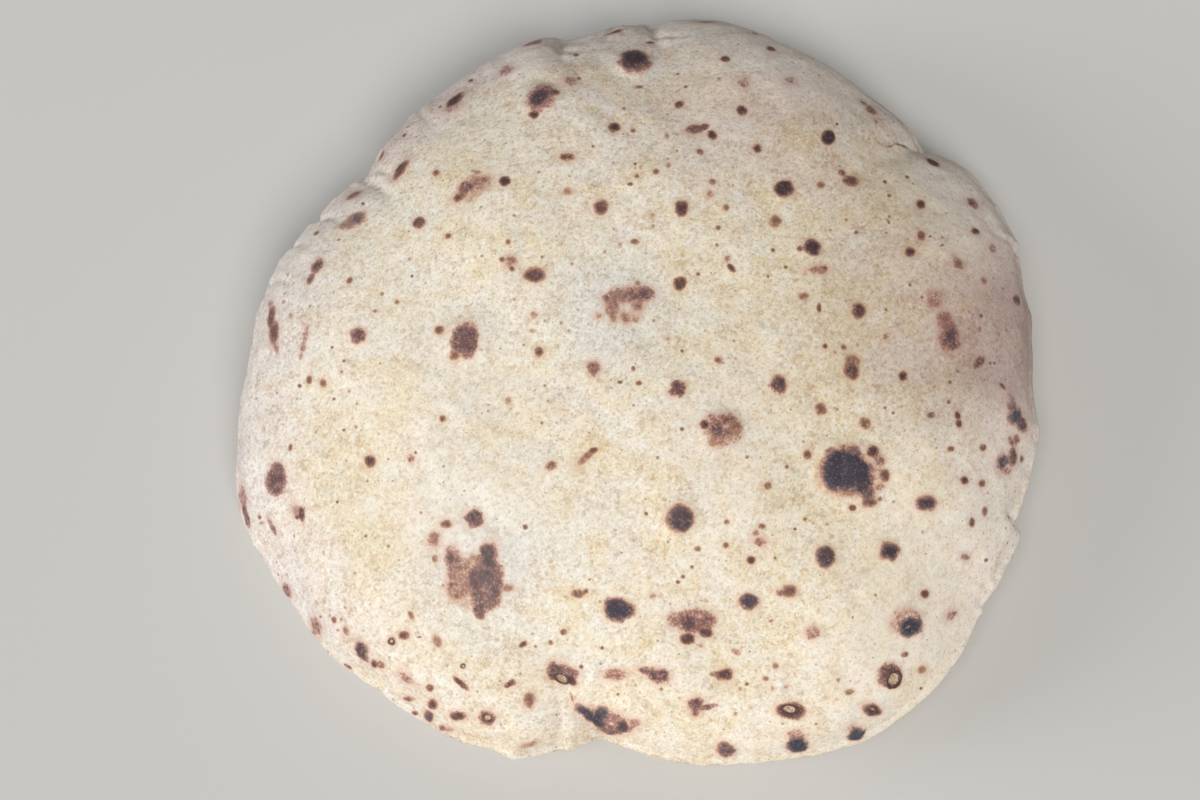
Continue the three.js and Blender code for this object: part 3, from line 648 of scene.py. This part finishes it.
burn3 = np.zeros(n)  # the cubes of the burns, added up
peak_at = np.zeros(n)
red, blue, weight = np.zeros(n), np.zeros(n), np.full(n, 1e-6)
halo = np.zeros(n)
crater = np.zeros(n)
ring = np.zeros(n)
lift = np.zeros(n)  # millimetres
# ragged outlines: sideways shifts of three sizes
WARP = [(size, noise(P / size, 21 + k), noise(P / size, 31 + k)) for k, size in enumerate((0.9, 2.0, 4.2))]


def shifts(k, half):
    """Sideways shifts in millimetres for a mark of this half size."""
    sx, sy = np.zeros(len(k)), np.zeros(len(k))
    for size, wx, wy in WARP:
        a = half * (0.24 * math.exp(-((math.log(size / (1.5 * half))) ** 2)) + 0.03) * min(1.0, 0.35 + 0.4 * half)
        a = min(a, 0.24 * size)
        sx += a * wx[k]
        sy += a * wy[k]
    return sx, sy


def lay(k, q, kind, half, side, own_peak=None, own_core=None):
    """Lay one mark: q is the share of its half sizes, side runs from -1 to 1 towards where it fades."""
    peak, core, hue, cold, glow = KINDS[kind]
    if kind == "w":
        paler[k] = np.maximum(paler[k], bend((1.25 - q) / 0.8))
        return
    peak = own_peak or (peak * (0.84 + 0.16 * min(1.0, half / 1.4)) if kind not in "tp" else peak)
    core = own_core or core
    edge = 1.21 + 0.25 / max(half, 0.4)
    core = max(core, 1 - 1.5 / half)
    level = peak * bend((edge - q) / (edge - core)) ** 0.85 * (1 - side)
    burn3[k] += level**3
    peak_at[k] = np.maximum(peak_at[k], level)
    w = level**2 + 0.02 * np.exp(-q * q)
    red[k] += w * np.clip(hue + 0.4 * side, 0, 1)
    blue[k] += w * cold
    weight[k] += w
    reach = 1.0 + 1.5 / max(half, 0.9)
    halo[k] = np.maximum(halo[k], glow * min(1, half / 0.9) * bend((reach - q) / (reach - 0.8)))
    h = {"K": 0.34, "B": 0.42, "N": 0.42, "v": 0.3, "k": 0.34, "q": 0.26, "s": 0.2, "d": 0.26, "r": 0.2, "g": 0.3}.get(kind, 0.1)
    lift[k] = np.maximum(lift[k], h * min(1.0, half / 1.6) * bend((1.5 - q) / 1.1))


paler = np.zeros(n)
index_top = np.flatnonzero(top_point)
for m in marks:
    cand = index_top[(np.abs(pix[index_top] - (m["x"], m["y"])) < m["a"] + m["b"] + 14).all(1)]
    look = cand[seen[cand]] if seen[cand].any() else cand
    if not len(look):
        continue
    centre = P[look[np.hypot(pix[look, 0] - m["x"], pix[look, 1] - m["y"]).argmin()]]
    half = min(m["a"], m["b"]) * MM
    long = max(m["a"], m["b"]) * MM
    far = np.linalg.norm(P[cand] - centre, axis=1)
    keep = cand[far < long * 3.2 + 2.5]
    far = far[far < long * 3.2 + 2.5]
    sx, sy = shifts(keep, half)
    if m["kind"] == "s":
        sx, sy = sx * 0.25, sy * 0.25
    q = ellipse(pix[keep, 0] + sx / MM, pix[keep, 1] + sy / MM, m)
    # seen edge-on, a mark isn't drawn out further on the flank than it is wide
    q = (q**4 + (far / ((2.4 if m["kind"] == "g" else 1.9 if m["y"] > 600 else 1.35) * long)) ** 4) ** 0.25
    side = ((pix[keep, 0] - m["x"]) * math.cos(m["fade"]) - (pix[keep, 1] - m["y"]) * math.sin(m["fade"])) / max(m["a"], m["b"])
    side = m["fading"] * bend(0.5 + 0.5 * side)
    ok = q < 1.9 + 1.2 / half
    lay(keep[ok], q[ok], m["kind"], half, side[ok], m["peak"], m["core"])
for m in craters:
    cand = index_top[seen[index_top]]
    half = min(m["a"], m["b"]) * MM
    sx, sy = shifts(cand, half * 0.6)
    q = ellipse(pix[cand, 0] + sx / MM, pix[cand, 1] + sy / MM, m)
    ok = q < 2.4
    k, q = cand[ok], q[ok]
    crater[k] = np.maximum(crater[k], bend((1.1 - q) / 0.35) * (0.5 + 0.5 * m["charred"]))
    ring[k] = np.maximum(ring[k], m["charred"] * np.exp(-(((q - 1.22) / 0.26) ** 2)))
    lift[k] += 0.25 * half * np.exp(-(((q - 1.25) / 0.3) ** 2)) - 0.6 * half * bend((1.15 - q) / 0.6)
index_low = np.flatnonzero(~top_point)
for h in hidden:
    k = index_low[(np.abs(P[index_low, :2] - h["at"]) < h["a"] * 2.2 + 2).all(1)]
    half = min(h["a"], h["b"])
    sx, sy = shifts(k, half)
    dx, dy = P[k, 0] + sx - h["at"][0], P[k, 1] + sy - h["at"][1]
    c, s = math.cos(h["turn"]), math.sin(h["turn"])
    q = np.hypot((dx * c + dy * s) / h["a"], (-dx * s + dy * c) / h["b"])
    ok = q < 1.9 + 1.0 / half
    lay(k[ok], q[ok], h["kind"], half, 0.2 * bend(0.5 + 0.4 * dx[ok] / h["a"]))
burn = np.minimum(burn3 ** (1 / 3), peak_at * 1.12)
burn *= 1 - 0.5 * paler
burn = np.maximum(burn, ring * 0.98)
red, blue = red / weight, blue / weight

# broad zones: ash-grey flour, yellow stains, the greyer and pinker side
def zone(x, y, rx, ry):
    return np.exp(-((((pix[:, 0] - x) / rx) ** 2 + ((pix[:, 1] - y) / ry) ** 2) ** 1.4)) * top_point


ash = np.clip(
    zone(612, 306, 50, 64) + zone(480, 572, 64, 74) + 0.45 * zone(385, 200, 22, 22) + 0.4 * zone(715, 140, 45, 35)
    + 0.4 * zone(300, 300, 45, 90) + 0.35 * zone(262, 440, 25, 90) + 0.3 * zone(440, 320, 70, 50) + 0.3 * zone(560, 330, 90, 40)
    + 0.25 * zone(520, 520, 60, 45), 0, 1,
)
yellow = np.clip(
    0.45 * zone(335, 485, 45, 70) + 0.3 * zone(612, 460, 34, 90) +
    0.8 * zone(385, 540, 34, 24) + 0.35 * zone(375, 500, 60, 95) + 0.7 * zone(893, 200, 32, 60) + 1.5 * zone(906, 692, 14, 14)
    + 0.6 * zone(800, 137, 24, 18) + 0.35 * zone(800, 330, 120, 190) + 0.6 * zone(860, 550, 100, 90)
    + 0.25 * zone(885, 180, 45, 40), 0, 1,
)
# darker, browner and pinker on the right flank, at the top and in small patches: partly the dough's own colour, partly
# painted shade where the flank and top lie in shadow
X, Y = pix[:, 0], pix[:, 1]
tone = 0.5 * bend((X - 760) / 110) * np.exp(-(((Y - 290) / 122) ** 4))
tone += 0.75 * np.exp(-(((X - 992) / 78) ** 2 + ((Y - 345) / 80) ** 2))
tone += 0.55 * np.exp(-((((X - 765) / 110) ** 2 + ((Y - 120) / 75) ** 2) ** 1.2)) + 0.2 * zone(400, 120, 75, 45)
# painted light: the tone is taken off in these zones so that the upper right flank and the top rim look lit
tone *= 1 - 0.85 * zone(968, 190, 66, 62) - 0.8 * zone(800, 45, 110, 42) - 0.14 * zone(940, 335, 40, 60)
tone += 0.22 * zone(455, 72, 42, 30) + 0.18 * zone(372, 150, 40, 34) + 0.14 * zone(590, 35, 60, 22)
tone += 0.11 * zone(695, 450, 42, 44) + 0.13 * zone(905, 425, 46, 26) + 0.1 * zone(755, 335, 50, 48) + 0.1 * zone(930, 232, 30, 26)
tone += 0.18 * zone(540, 672, 26, 26) + 0.12 * zone(822, 678, 44, 24) + 0.12 * zone(256, 425, 26, 40) + 0.08 * zone(680, 60, 60, 40)
# painted light: pale zones brighten the top rim, the upper and lower right flanks and the middle, where the surface is
# to look more brightly lit
pale = np.clip(
    1.3 * zone(958, 180, 75, 66) + 0.15 * zone(590, 45, 130, 34) + 1.0 * zone(780, 26, 110, 26) + 1.6 * zone(515, 32, 50, 30) + 0.8 * zone(285, 235, 42, 48) + 1.2 * zone(830, 66, 80, 40) + 1.4 * zone(912, 668, 72, 66) + 0.9 * zone(1004, 262, 40, 50) + 0.5 * zone(735, 430, 60, 70) + 0.5 * zone(460, 520, 90, 50) + 0.4 * zone(735, 550, 50, 40) + 0.5 * zone(1010, 400, 30, 60) + 1.1 * zone(930, 590, 92, 130)
    + 0.6 * zone(1010, 480, 45, 70) + 0.3 * zone(800, 745, 110, 30) + 0.35 * zone(440, 450, 130, 160), 0, 1,
)
# the underside takes the tone of the rim above it, its painted shade included, and a plainer random one further in
theta = np.arctan2(P[:, 1], P[:, 0])
low = ~top_point
inwards = bend((U - 0.80) / 0.18)
below_tone = 0.28 + 0.2 * noise(np.stack((P[:, 0] / 38, P[:, 1] / 38, P[:, 2] * 0), -1), 9)
rim_tone = 0.45 * bend((np.cos(theta - math.radians(25)) - 0.55) / 0.35)
tone = np.where(low, below_tone * (1 - inwards) + rim_tone * inwards, tone)
tone = np.clip(tone, 0, 1)
# painted shade: the rim is made lilac-grey where it turns away from the light, much less on the lit front and right,
# and in zones where the right flank and the top lie in shade
edge_u = bend((U - 0.74) / 0.24)
to_front = bend((-np.sin(theta) - 0.55) / 0.35)
to_right = bend((np.cos(theta + math.radians(50)) - 0.5) / 0.35)
lilac = edge_u * (1 - 0.8 * to_front) * (1 - 0.9 * to_right) * np.where(top_point, 1, 0.6)
lilac = np.clip(lilac + 0.9 * zone(1012, 425, 48, 150) + 0.35 * zone(790, 70, 75, 50) + 0.4 * zone(298, 285, 46, 90) + 0.5 * zone(982, 565, 40, 60) + 0.35 * zone(948, 640, 34, 44)
    + 0.3 * zone(640, 95, 280, 85) + 0.2 * zone(930, 175, 70, 60), 0, 1)

# ------------------------------------------------------------------ fine relief

up_share = np.where(top_point, 0.35 + 0.65 * share, 0.15 + 0.65 * bend((U - 0.5) / 0.3))
rim_band = np.exp(-(((P[:, 2] - RIM_HEIGHT) / 5.0) ** 2))
lumps = 0.36 * fbm(P, 17.0, 2, 1) + 0.30 * fbm(P, 6.5, 2, 2) + 0.11 * fbm(P, 3.0, 1, 3)
pleat_p = np.stack((theta * 26, P[:, 2] * 0.05, U * 2.2), -1)
pleats = noise(pleat_p, 5) * bend((U - 0.78) / 0.16) * (0.5 + 0.5 * noise(np.stack((theta * 3, U * 0, U * 0), -1), 6))
out = lumps * up_share + 0.28 * pleats * np.where(top_point, 1, 0.5) + lift * np.where(top_point, 1, 0.7)
out += np.where(on_rim | (rim_band > 0.6), 0.25 * fbm(P, 9.0, 2, 8) * rim_band, 0)
out += folds(P[:, 0], P[:, 1]) * top_point
P = P + N * out[:, None]
# the underside rests on its flat: nothing sinks below it
flat_zone = ~top_point & (U < FLAT_SHARE + 0.1)
P[:, 2] = np.where(flat_zone, np.maximum(P[:, 2] * 0.25, 0.0), np.maximum(P[:, 2], 0.0))

# ------------------------------------------------------------------ the Blender object

me = bpy.data.meshes.new("chapati_crust")
me.vertices.add(n)
me.vertices.foreach_set("co", (P / 1000).astype(np.float32).ravel())
me.loops.add(len(tris) * 3)
me.loops.foreach_set("vertex_index", tris.astype(np.int32).ravel())
me.polygons.add(len(tris))
me.polygons.foreach_set("loop_start", np.arange(0, len(tris) * 3, 3, dtype=np.int32))
me.polygons.foreach_set("use_smooth", np.ones(len(tris), bool))
me.update(calc_edges=True)
me.validate()
# tone is partly painted shade, lilac is painted shade at the rim, pale is painted light
for name, values in (
    ("burn", burn), ("red", red), ("blue", blue), ("halo", halo), ("crater", crater), ("ash", ash), ("yellow", yellow),
    ("tone", tone), ("lilac", lilac), ("rim", rim_band), ("pale", pale),
):
    a = me.attributes.new(name, "FLOAT", "POINT")
    a.data.foreach_set("value", values.astype(np.float32))
crust_piece = bpy.data.objects.new("chapati_crust", me)
bpy.context.scene.collection.objects.link(crust_piece)

# ------------------------------------------------------------------ the crust's material

mat = bpy.data.materials.new("chapati crust")
mat.use_nodes = True
tree = mat.node_tree
tree.nodes.clear()


def node(kind, **settings):
    k = tree.nodes.new(kind)
    inputs = settings.pop("inputs", {})
    for key, value in settings.items():
        setattr(k, key, value)
    for key, value in inputs.items():
        if isinstance(value, bpy.types.NodeSocket):
            tree.links.new(value, k.inputs[key])
        else:
            k.inputs[key].default_value = value
    return k


def math_node(op, a, b=0.0, c=0.0, clamp=False):
    return node("ShaderNodeMath", operation=op, use_clamp=clamp, inputs={0: a, 1: b, 2: c}).outputs[0]


def attribute(name):
    return node("ShaderNodeAttribute", attribute_name=name, attribute_type="GEOMETRY").outputs["Fac"]


def mix(fac, a, b, blend="MIX"):
    k = node("ShaderNodeMix", data_type="RGBA", blend_type=blend)
    for socket, value in zip((k.inputs[0], k.inputs[6], k.inputs[7]), (fac, a, b)):
        if isinstance(value, bpy.types.NodeSocket):
            tree.links.new(value, socket)
        else:
            socket.default_value = value
    return k.outputs[2]


def ramp(fac, stops, interpolation="LINEAR"):
    k = node("ShaderNodeValToRGB", inputs={0: fac})
    k.color_ramp.interpolation = interpolation
    els = k.color_ramp.elements
    while len(els) < len(stops):
        els.new(0.5)
    for el, (pos, colour) in zip(els, stops):
        el.position = pos
        el.color = colour
    return k.outputs[0]


def srgb(r, g, b):
    f = lambda v: v / 255 / 12.92 if v <= 10.3 else ((v / 255 + 0.055) / 1.055) ** 2.4
    return (f(r), f(g), f(b), 1)


def grey(v):
    return (v, v, v, 1)


def between(value, low, high):
    """0 below low, 1 above high, smooth between."""
    k = node("ShaderNodeMapRange", interpolation_type="SMOOTHSTEP", inputs={"Value": value, "From Min": low, "From Max": high})
    return k.outputs[0]


def tex_noise(scale, detail=2.0, rough=0.5, distortion=0.0, vector=None):
    k = node("ShaderNodeTexNoise", inputs={"Vector": vector or where, "Scale": scale, "Detail": detail, "Roughness": rough, "Distortion": distortion})
    return k.outputs["Fac"]


coords = node("ShaderNodeTexCoord").outputs["Object"]
where = node("ShaderNodeVectorMath", operation="SCALE", inputs={0: coords, "Scale": 1000.0}).outputs[0]  # millimetres

n_patch = tex_noise(0.045, 2.0)  # patches of 20 mm
n_cream = tex_noise(0.085, 3.0, 0.55, 0.6)
n_cold = tex_noise(0.10, 3.0, 0.55, 0.6, node("ShaderNodeVectorMath", operation="ADD", inputs={0: where, 1: (71.0, 13.0, 37.0)}).outputs[0])
n_blotch = tex_noise(0.20, 3.0, 0.6)  # 5 mm
n_mottle = tex_noise(0.75, 3.0, 0.65)  # 1.3 mm
n_grain = tex_noise(2.1, 3.0, 0.7)  # half a millimetre
n_fine = tex_noise(4.6, 2.0, 0.7)


def grains(scale, offset):
    """A grain of random value in each cell, with no direction to it."""
    at = node("ShaderNodeVectorMath", operation="ADD", inputs={0: where, 1: offset}).outputs[0]
    k = node("ShaderNodeTexVoronoi", feature="F1", inputs={"Vector": at, "Scale": scale, "Randomness": 1.0})
    rgb = node("ShaderNodeSeparateColor", inputs={0: k.outputs["Color"]}).outputs
    return k.outputs["Distance"], rgb


_, g_small = grains(2.4, (3.0, 8.0, 1.0))
_, g_large = grains(1.25, (31.0, 5.0, 17.0))

# dough: cream; darker, browner and pinker towards the far right, partly painted shade; paler where the pale zones paint
# light; lilac-grey painted shade at the edge; yellow stains, ash-grey flour
# lit and shaded copies of each dough colour, chosen by the tone, which is partly painted shade
dough = mix(attribute("tone"), srgb(245, 232, 209), srgb(188, 163, 152))
# painted light: the pale zones mixed towards a lighter cream
dough = mix(math_node("MULTIPLY", attribute("pale"), 0.85), dough, mix(attribute("tone"), srgb(255, 244, 229), srgb(222, 198, 190)))
dough = mix(math_node("MULTIPLY", between(n_cream, 0.45, 0.62), 0.64), dough, mix(attribute("tone"), srgb(242, 224, 186), srgb(198, 173, 146)))
dough = mix(math_node("MULTIPLY", between(n_cold, 0.50, 0.64), 0.65), dough, mix(attribute("tone"), srgb(239, 231, 221), srgb(194, 172, 168)))
# painted shade: lilac-grey at the rim
dough = mix(math_node("MULTIPLY", attribute("lilac"), 0.60), dough, mix(attribute("tone"), srgb(231, 217, 219), srgb(184, 160, 161)))
dough = mix(math_node("MULTIPLY", attribute("yellow"), 0.6), dough, mix(attribute("tone"), srgb(236, 214, 164), srgb(192, 172, 132)))
ash_f = math_node("MULTIPLY", attribute("ash"), math_node("ADD", 0.40, math_node("MULTIPLY", n_mottle, 0.75)), clamp=True)
dough = mix(ash_f, dough, srgb(228, 225, 222))
# floury and bare patches, bran and flour grains
flour = mix(attribute("tone"), srgb(251, 247, 237), srgb(205, 187, 174))
dough = mix(math_node("MULTIPLY", between(n_blotch, 0.52, 0.66), 0.48), dough, flour)
dough = mix(math_node("MULTIPLY", between(n_blotch, 0.47, 0.34), 0.36), dough, srgb(222, 200, 170), "MULTIPLY")
dough = mix(math_node("MULTIPLY", between(n_mottle, 0.54, 0.68), 0.42), dough, flour)
dough = mix(math_node("MULTIPLY", between(n_mottle, 0.47, 0.33), 0.38), dough, srgb(222, 206, 184), "MULTIPLY")
dough = mix(math_node("MULTIPLY", between(n_grain, 0.50, 0.34), 0.36), dough, srgb(206, 192, 174), "MULTIPLY")
dough = mix(math_node("MULTIPLY", between(g_small[0], 0.55, 0.0), 0.42), dough, srgb(214, 200, 184), "MULTIPLY")
dough = mix(math_node("MULTIPLY", between(g_small[1], 0.62, 1.0), 0.50), dough, flour)
dough = mix(math_node("MULTIPLY", between(g_large[0], 0.35, 0.0), 0.45), dough, srgb(212, 200, 188), "MULTIPLY")
dough = mix(math_node("MULTIPLY", between(g_large[1], 0.75, 1.0), 0.45), dough, flour)
dough = mix(math_node("MULTIPLY", between(g_large[2], 0.80, 0.95), 0.16), dough, srgb(206, 214, 186))
# painted light again, from the pale zones
dough = mix(math_node("MULTIPLY", attribute("pale"), 0.32), dough, mix(attribute("tone"), srgb(255, 245, 229), srgb(218, 196, 186)))
# bran: scattered dark specks of two sizes
def bran(scale, offset, share, least, spread):
    distance, rgb = grains(scale, offset)
    size = math_node("ADD", least, math_node("MULTIPLY", rgb[1], spread))
    spot = between(math_node("SUBTRACT", distance, size), 0.03, -0.03)
    return math_node("MULTIPLY", spot, between(rgb[0], 1 - share, 1.03 - share)), rgb[2]


fleck, fleck_hue = bran(0.42, (0.0, 0.0, 0.0), 0.30, 0.06, 0.10)
fleck2, fleck2_hue = bran(0.80, (9.0, 4.0, 2.0), 0.24, 0.09, 0.12)
dough = mix(math_node("MULTIPLY", fleck, 0.62), dough, mix(fleck_hue, srgb(112, 92, 74), srgb(176, 138, 106)))
dough = mix(math_node("MULTIPLY", fleck2, 0.50), dough, mix(fleck2_hue, srgb(128, 108, 90), srgb(184, 150, 120)))

# scorch: a pinkish tan halo, then brown to near black, with ragged grainy edges
burn_a = attribute("burn")
halo_n = math_node("MULTIPLY", attribute("halo"), math_node("ADD", 0.45, math_node("MULTIPLY", n_mottle, 1.1)), clamp=True)
halo_c = mix(attribute("red"), srgb(224, 188, 152), srgb(220, 176, 158))
# painted shade: the halo darkened with the tone and greyed with the lilac rim shade
halo_c = mix(math_node("MULTIPLY", attribute("tone"), 0.9, clamp=True), halo_c, srgb(196, 186, 192), "MULTIPLY")
halo_c = mix(math_node("MULTIPLY", attribute("lilac"), 0.55), halo_c, srgb(208, 184, 180))
base = mix(math_node("MULTIPLY", halo_n, 0.66), dough, halo_c)
inside = between(burn_a, 0.02, 0.22)
ragged = math_node("ADD", math_node("MULTIPLY", math_node("SUBTRACT", n_mottle, 0.5), 0.62), math_node("MULTIPLY", math_node("SUBTRACT", n_grain, 0.5), 0.66))
loose = math_node("ADD", 0.62, math_node("MULTIPLY", between(attribute("red"), 0.50, 0.90), 0.85))
level = math_node("ADD", burn_a, math_node("MULTIPLY", math_node("MULTIPLY", ragged, loose), inside))
brown = ramp(level, [(0.12, srgb(216, 183, 145)), (0.30, srgb(188, 147, 112)), (0.48, srgb(150, 108, 82)), (0.68, srgb(108, 73, 58)), (0.95, srgb(70, 45, 40))])
reddish = ramp(level, [(0.12, srgb(220, 186, 164)), (0.30, srgb(190, 144, 126)), (0.48, srgb(154, 108, 98)), (0.68, srgb(116, 79, 76)), (0.95, srgb(84, 57, 58))])
bluish = ramp(level, [(0.12, srgb(210, 190, 174)), (0.30, srgb(172, 152, 146)), (0.48, srgb(132, 118, 118)), (0.68, srgb(94, 89, 97)), (0.95, srgb(57, 59, 73))])
scorch = mix(attribute("red"), brown, reddish)
scorch = mix(math_node("MULTIPLY", attribute("blue"), between(level, 0.28, 0.62)), scorch, bluish)
# painted shade: the scorch darkened where the tone is
scorch = mix(math_node("MULTIPLY", attribute("tone"), between(level, 0.75, 0.20), clamp=True), scorch, srgb(200, 192, 196), "MULTIPLY")
# painted shade: the scorch greyed where the lilac rim shade is
rim_shade_grey = math_node("MULTIPLY", math_node("MULTIPLY", attribute("lilac"), 0.6), between(level, 0.62, 0.15))
scorch = mix(rim_shade_grey, scorch, srgb(180, 154, 151))
# flour on the scorched skin
dusty = math_node("ADD", 0.10, math_node("MULTIPLY", between(level, 0.90, 0.45), 0.24))
scorch = mix(math_node("MULTIPLY", between(n_grain, 0.56, 0.70), dusty), scorch, srgb(222, 190, 172))
scorch = mix(math_node("MULTIPLY", between(g_small[2], 0.70, 1.0), dusty), scorch, srgb(226, 198, 184))
scorch = mix(math_node("MULTIPLY", between(g_small[0], 0.35, 0.0), 0.30), scorch, srgb(190, 178, 180), "MULTIPLY")
scorch = mix(math_node("MULTIPLY", attribute("ash"), 0.10), scorch, srgb(200, 180, 172))
cover = between(level, 0.04, 0.34)
colour = mix(cover, base, scorch)
# burst blisters: pale crumb inside
crumb = mix(between(n_grain, 0.36, 0.64), srgb(162, 128, 102), srgb(222, 200, 172))
colour = mix(between(attribute("crater"), 0.45, 0.75), colour, crumb)

rough = math_node("ADD", 0.78, math_node("MULTIPLY", n_mottle, 0.15))
rough = math_node("SUBTRACT", rough, math_node("MULTIPLY", between(level, 0.6, 0.95), 0.22), clamp=True)
height = math_node("ADD", math_node("MULTIPLY", n_mottle, 1.0), math_node("MULTIPLY", n_grain, 0.55))
height = math_node("ADD", height, math_node("MULTIPLY", n_fine, 0.25))
height = math_node("SUBTRACT", height, math_node("MULTIPLY", fleck, 0.5))
bump = node("ShaderNodeBump", inputs={"Height": height, "Strength": 0.55, "Distance": 0.00022})
shader = node("ShaderNodeBsdfPrincipled", inputs={"Base Color": colour, "Roughness": rough, "Normal": bump.outputs[0]})
shader.inputs["Specular IOR Level"].default_value = 0.3
output = node("ShaderNodeOutputMaterial", inputs={"Surface": shader.outputs[0]})
me.materials.append(mat)

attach(crust_piece, "root")
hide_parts("chapati")

# ------------------------------------------------------------------ floor, light, camera

floor_mesh = bpy.data.meshes.new("floor")
s = 3.0
floor_mesh.from_pydata([(-s, -s, -0.0002), (s, -s, -0.0002), (s, s, -0.0002), (-s, s, -0.0002)], [], [(0, 1, 2, 3)])
floor = bpy.data.objects.new("floor", floor_mesh)
bpy.context.scene.collection.objects.link(floor)
floor_mat = bpy.data.materials.new("pale floor")
floor_mat.use_nodes = True
fb = floor_mat.node_tree.nodes["Principled BSDF"]
fb.inputs["Base Color"].default_value = (0.62, 0.61, 0.59, 1)
fb.inputs["Roughness"].default_value = 0.9
fb.inputs["Specular IOR Level"].default_value = 0.1
floor_mesh.materials.append(floor_mat)
floor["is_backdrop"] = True

world = bpy.data.worlds.new("studio")
world.use_nodes = True
world.node_tree.nodes["Background"].inputs[0].default_value = (0.93, 0.95, 1.0, 1)
world.node_tree.nodes["Background"].inputs[1].default_value = 0.10
bpy.context.scene.world = world


def area(name, direction, distance, size, power, colour=(1, 1, 1)):
    light = bpy.data.lights.new(name, "AREA")
    light.shape = "DISK"
    light.size = size
    light.energy = power
    light.color = colour
    o = bpy.data.objects.new(name, light)
    d = np.array(direction, float)
    d /= np.linalg.norm(d)
    at = d * distance
    z = d
    x = np.cross((0, 0, 1.0), z)
    x /= np.linalg.norm(x)
    y = np.cross(z, x)
    o.matrix_world = Matrix(((x[0], y[0], z[0], at[0]), (x[1], y[1], z[1], at[1]), (x[2], y[2], z[2], at[2]), (0, 0, 0, 1)))
    bpy.context.scene.collection.objects.link(o)
    return o


area("key", (0.18, -0.62, 0.76), 6.0, 3.0, 206.0, (1.0, 0.985, 0.95))
area("left", (-0.93, -0.12, 0.34), 6.0, 3.2, 165.0, (0.90, 0.94, 1.0))
area("top", (-0.20, -0.30, 0.93), 6.0, 3.0, 107.0, (1.0, 0.985, 0.96))

cam_data = bpy.data.cameras.new("camera")
cam_data.sensor_width = 36
cam_data.lens = FOCAL_PX / 1200 * 36
cam_data.clip_start, cam_data.clip_end = 0.01, 50
cam = bpy.data.objects.new("camera", cam_data)
eye = EYE / 1000
cam.matrix_world = Matrix(
    (
        (RIGHT[0], UP[0], -AHEAD[0], eye[0]),
        (RIGHT[1], UP[1], -AHEAD[1], eye[1]),
        (RIGHT[2], UP[2], -AHEAD[2], eye[2]),
        (0, 0, 0, 1),
    )
)
bpy.context.scene.collection.objects.link(cam)
bpy.context.scene.camera = cam
bpy.context.scene.view_settings.view_transform = "Standard"

low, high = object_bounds()
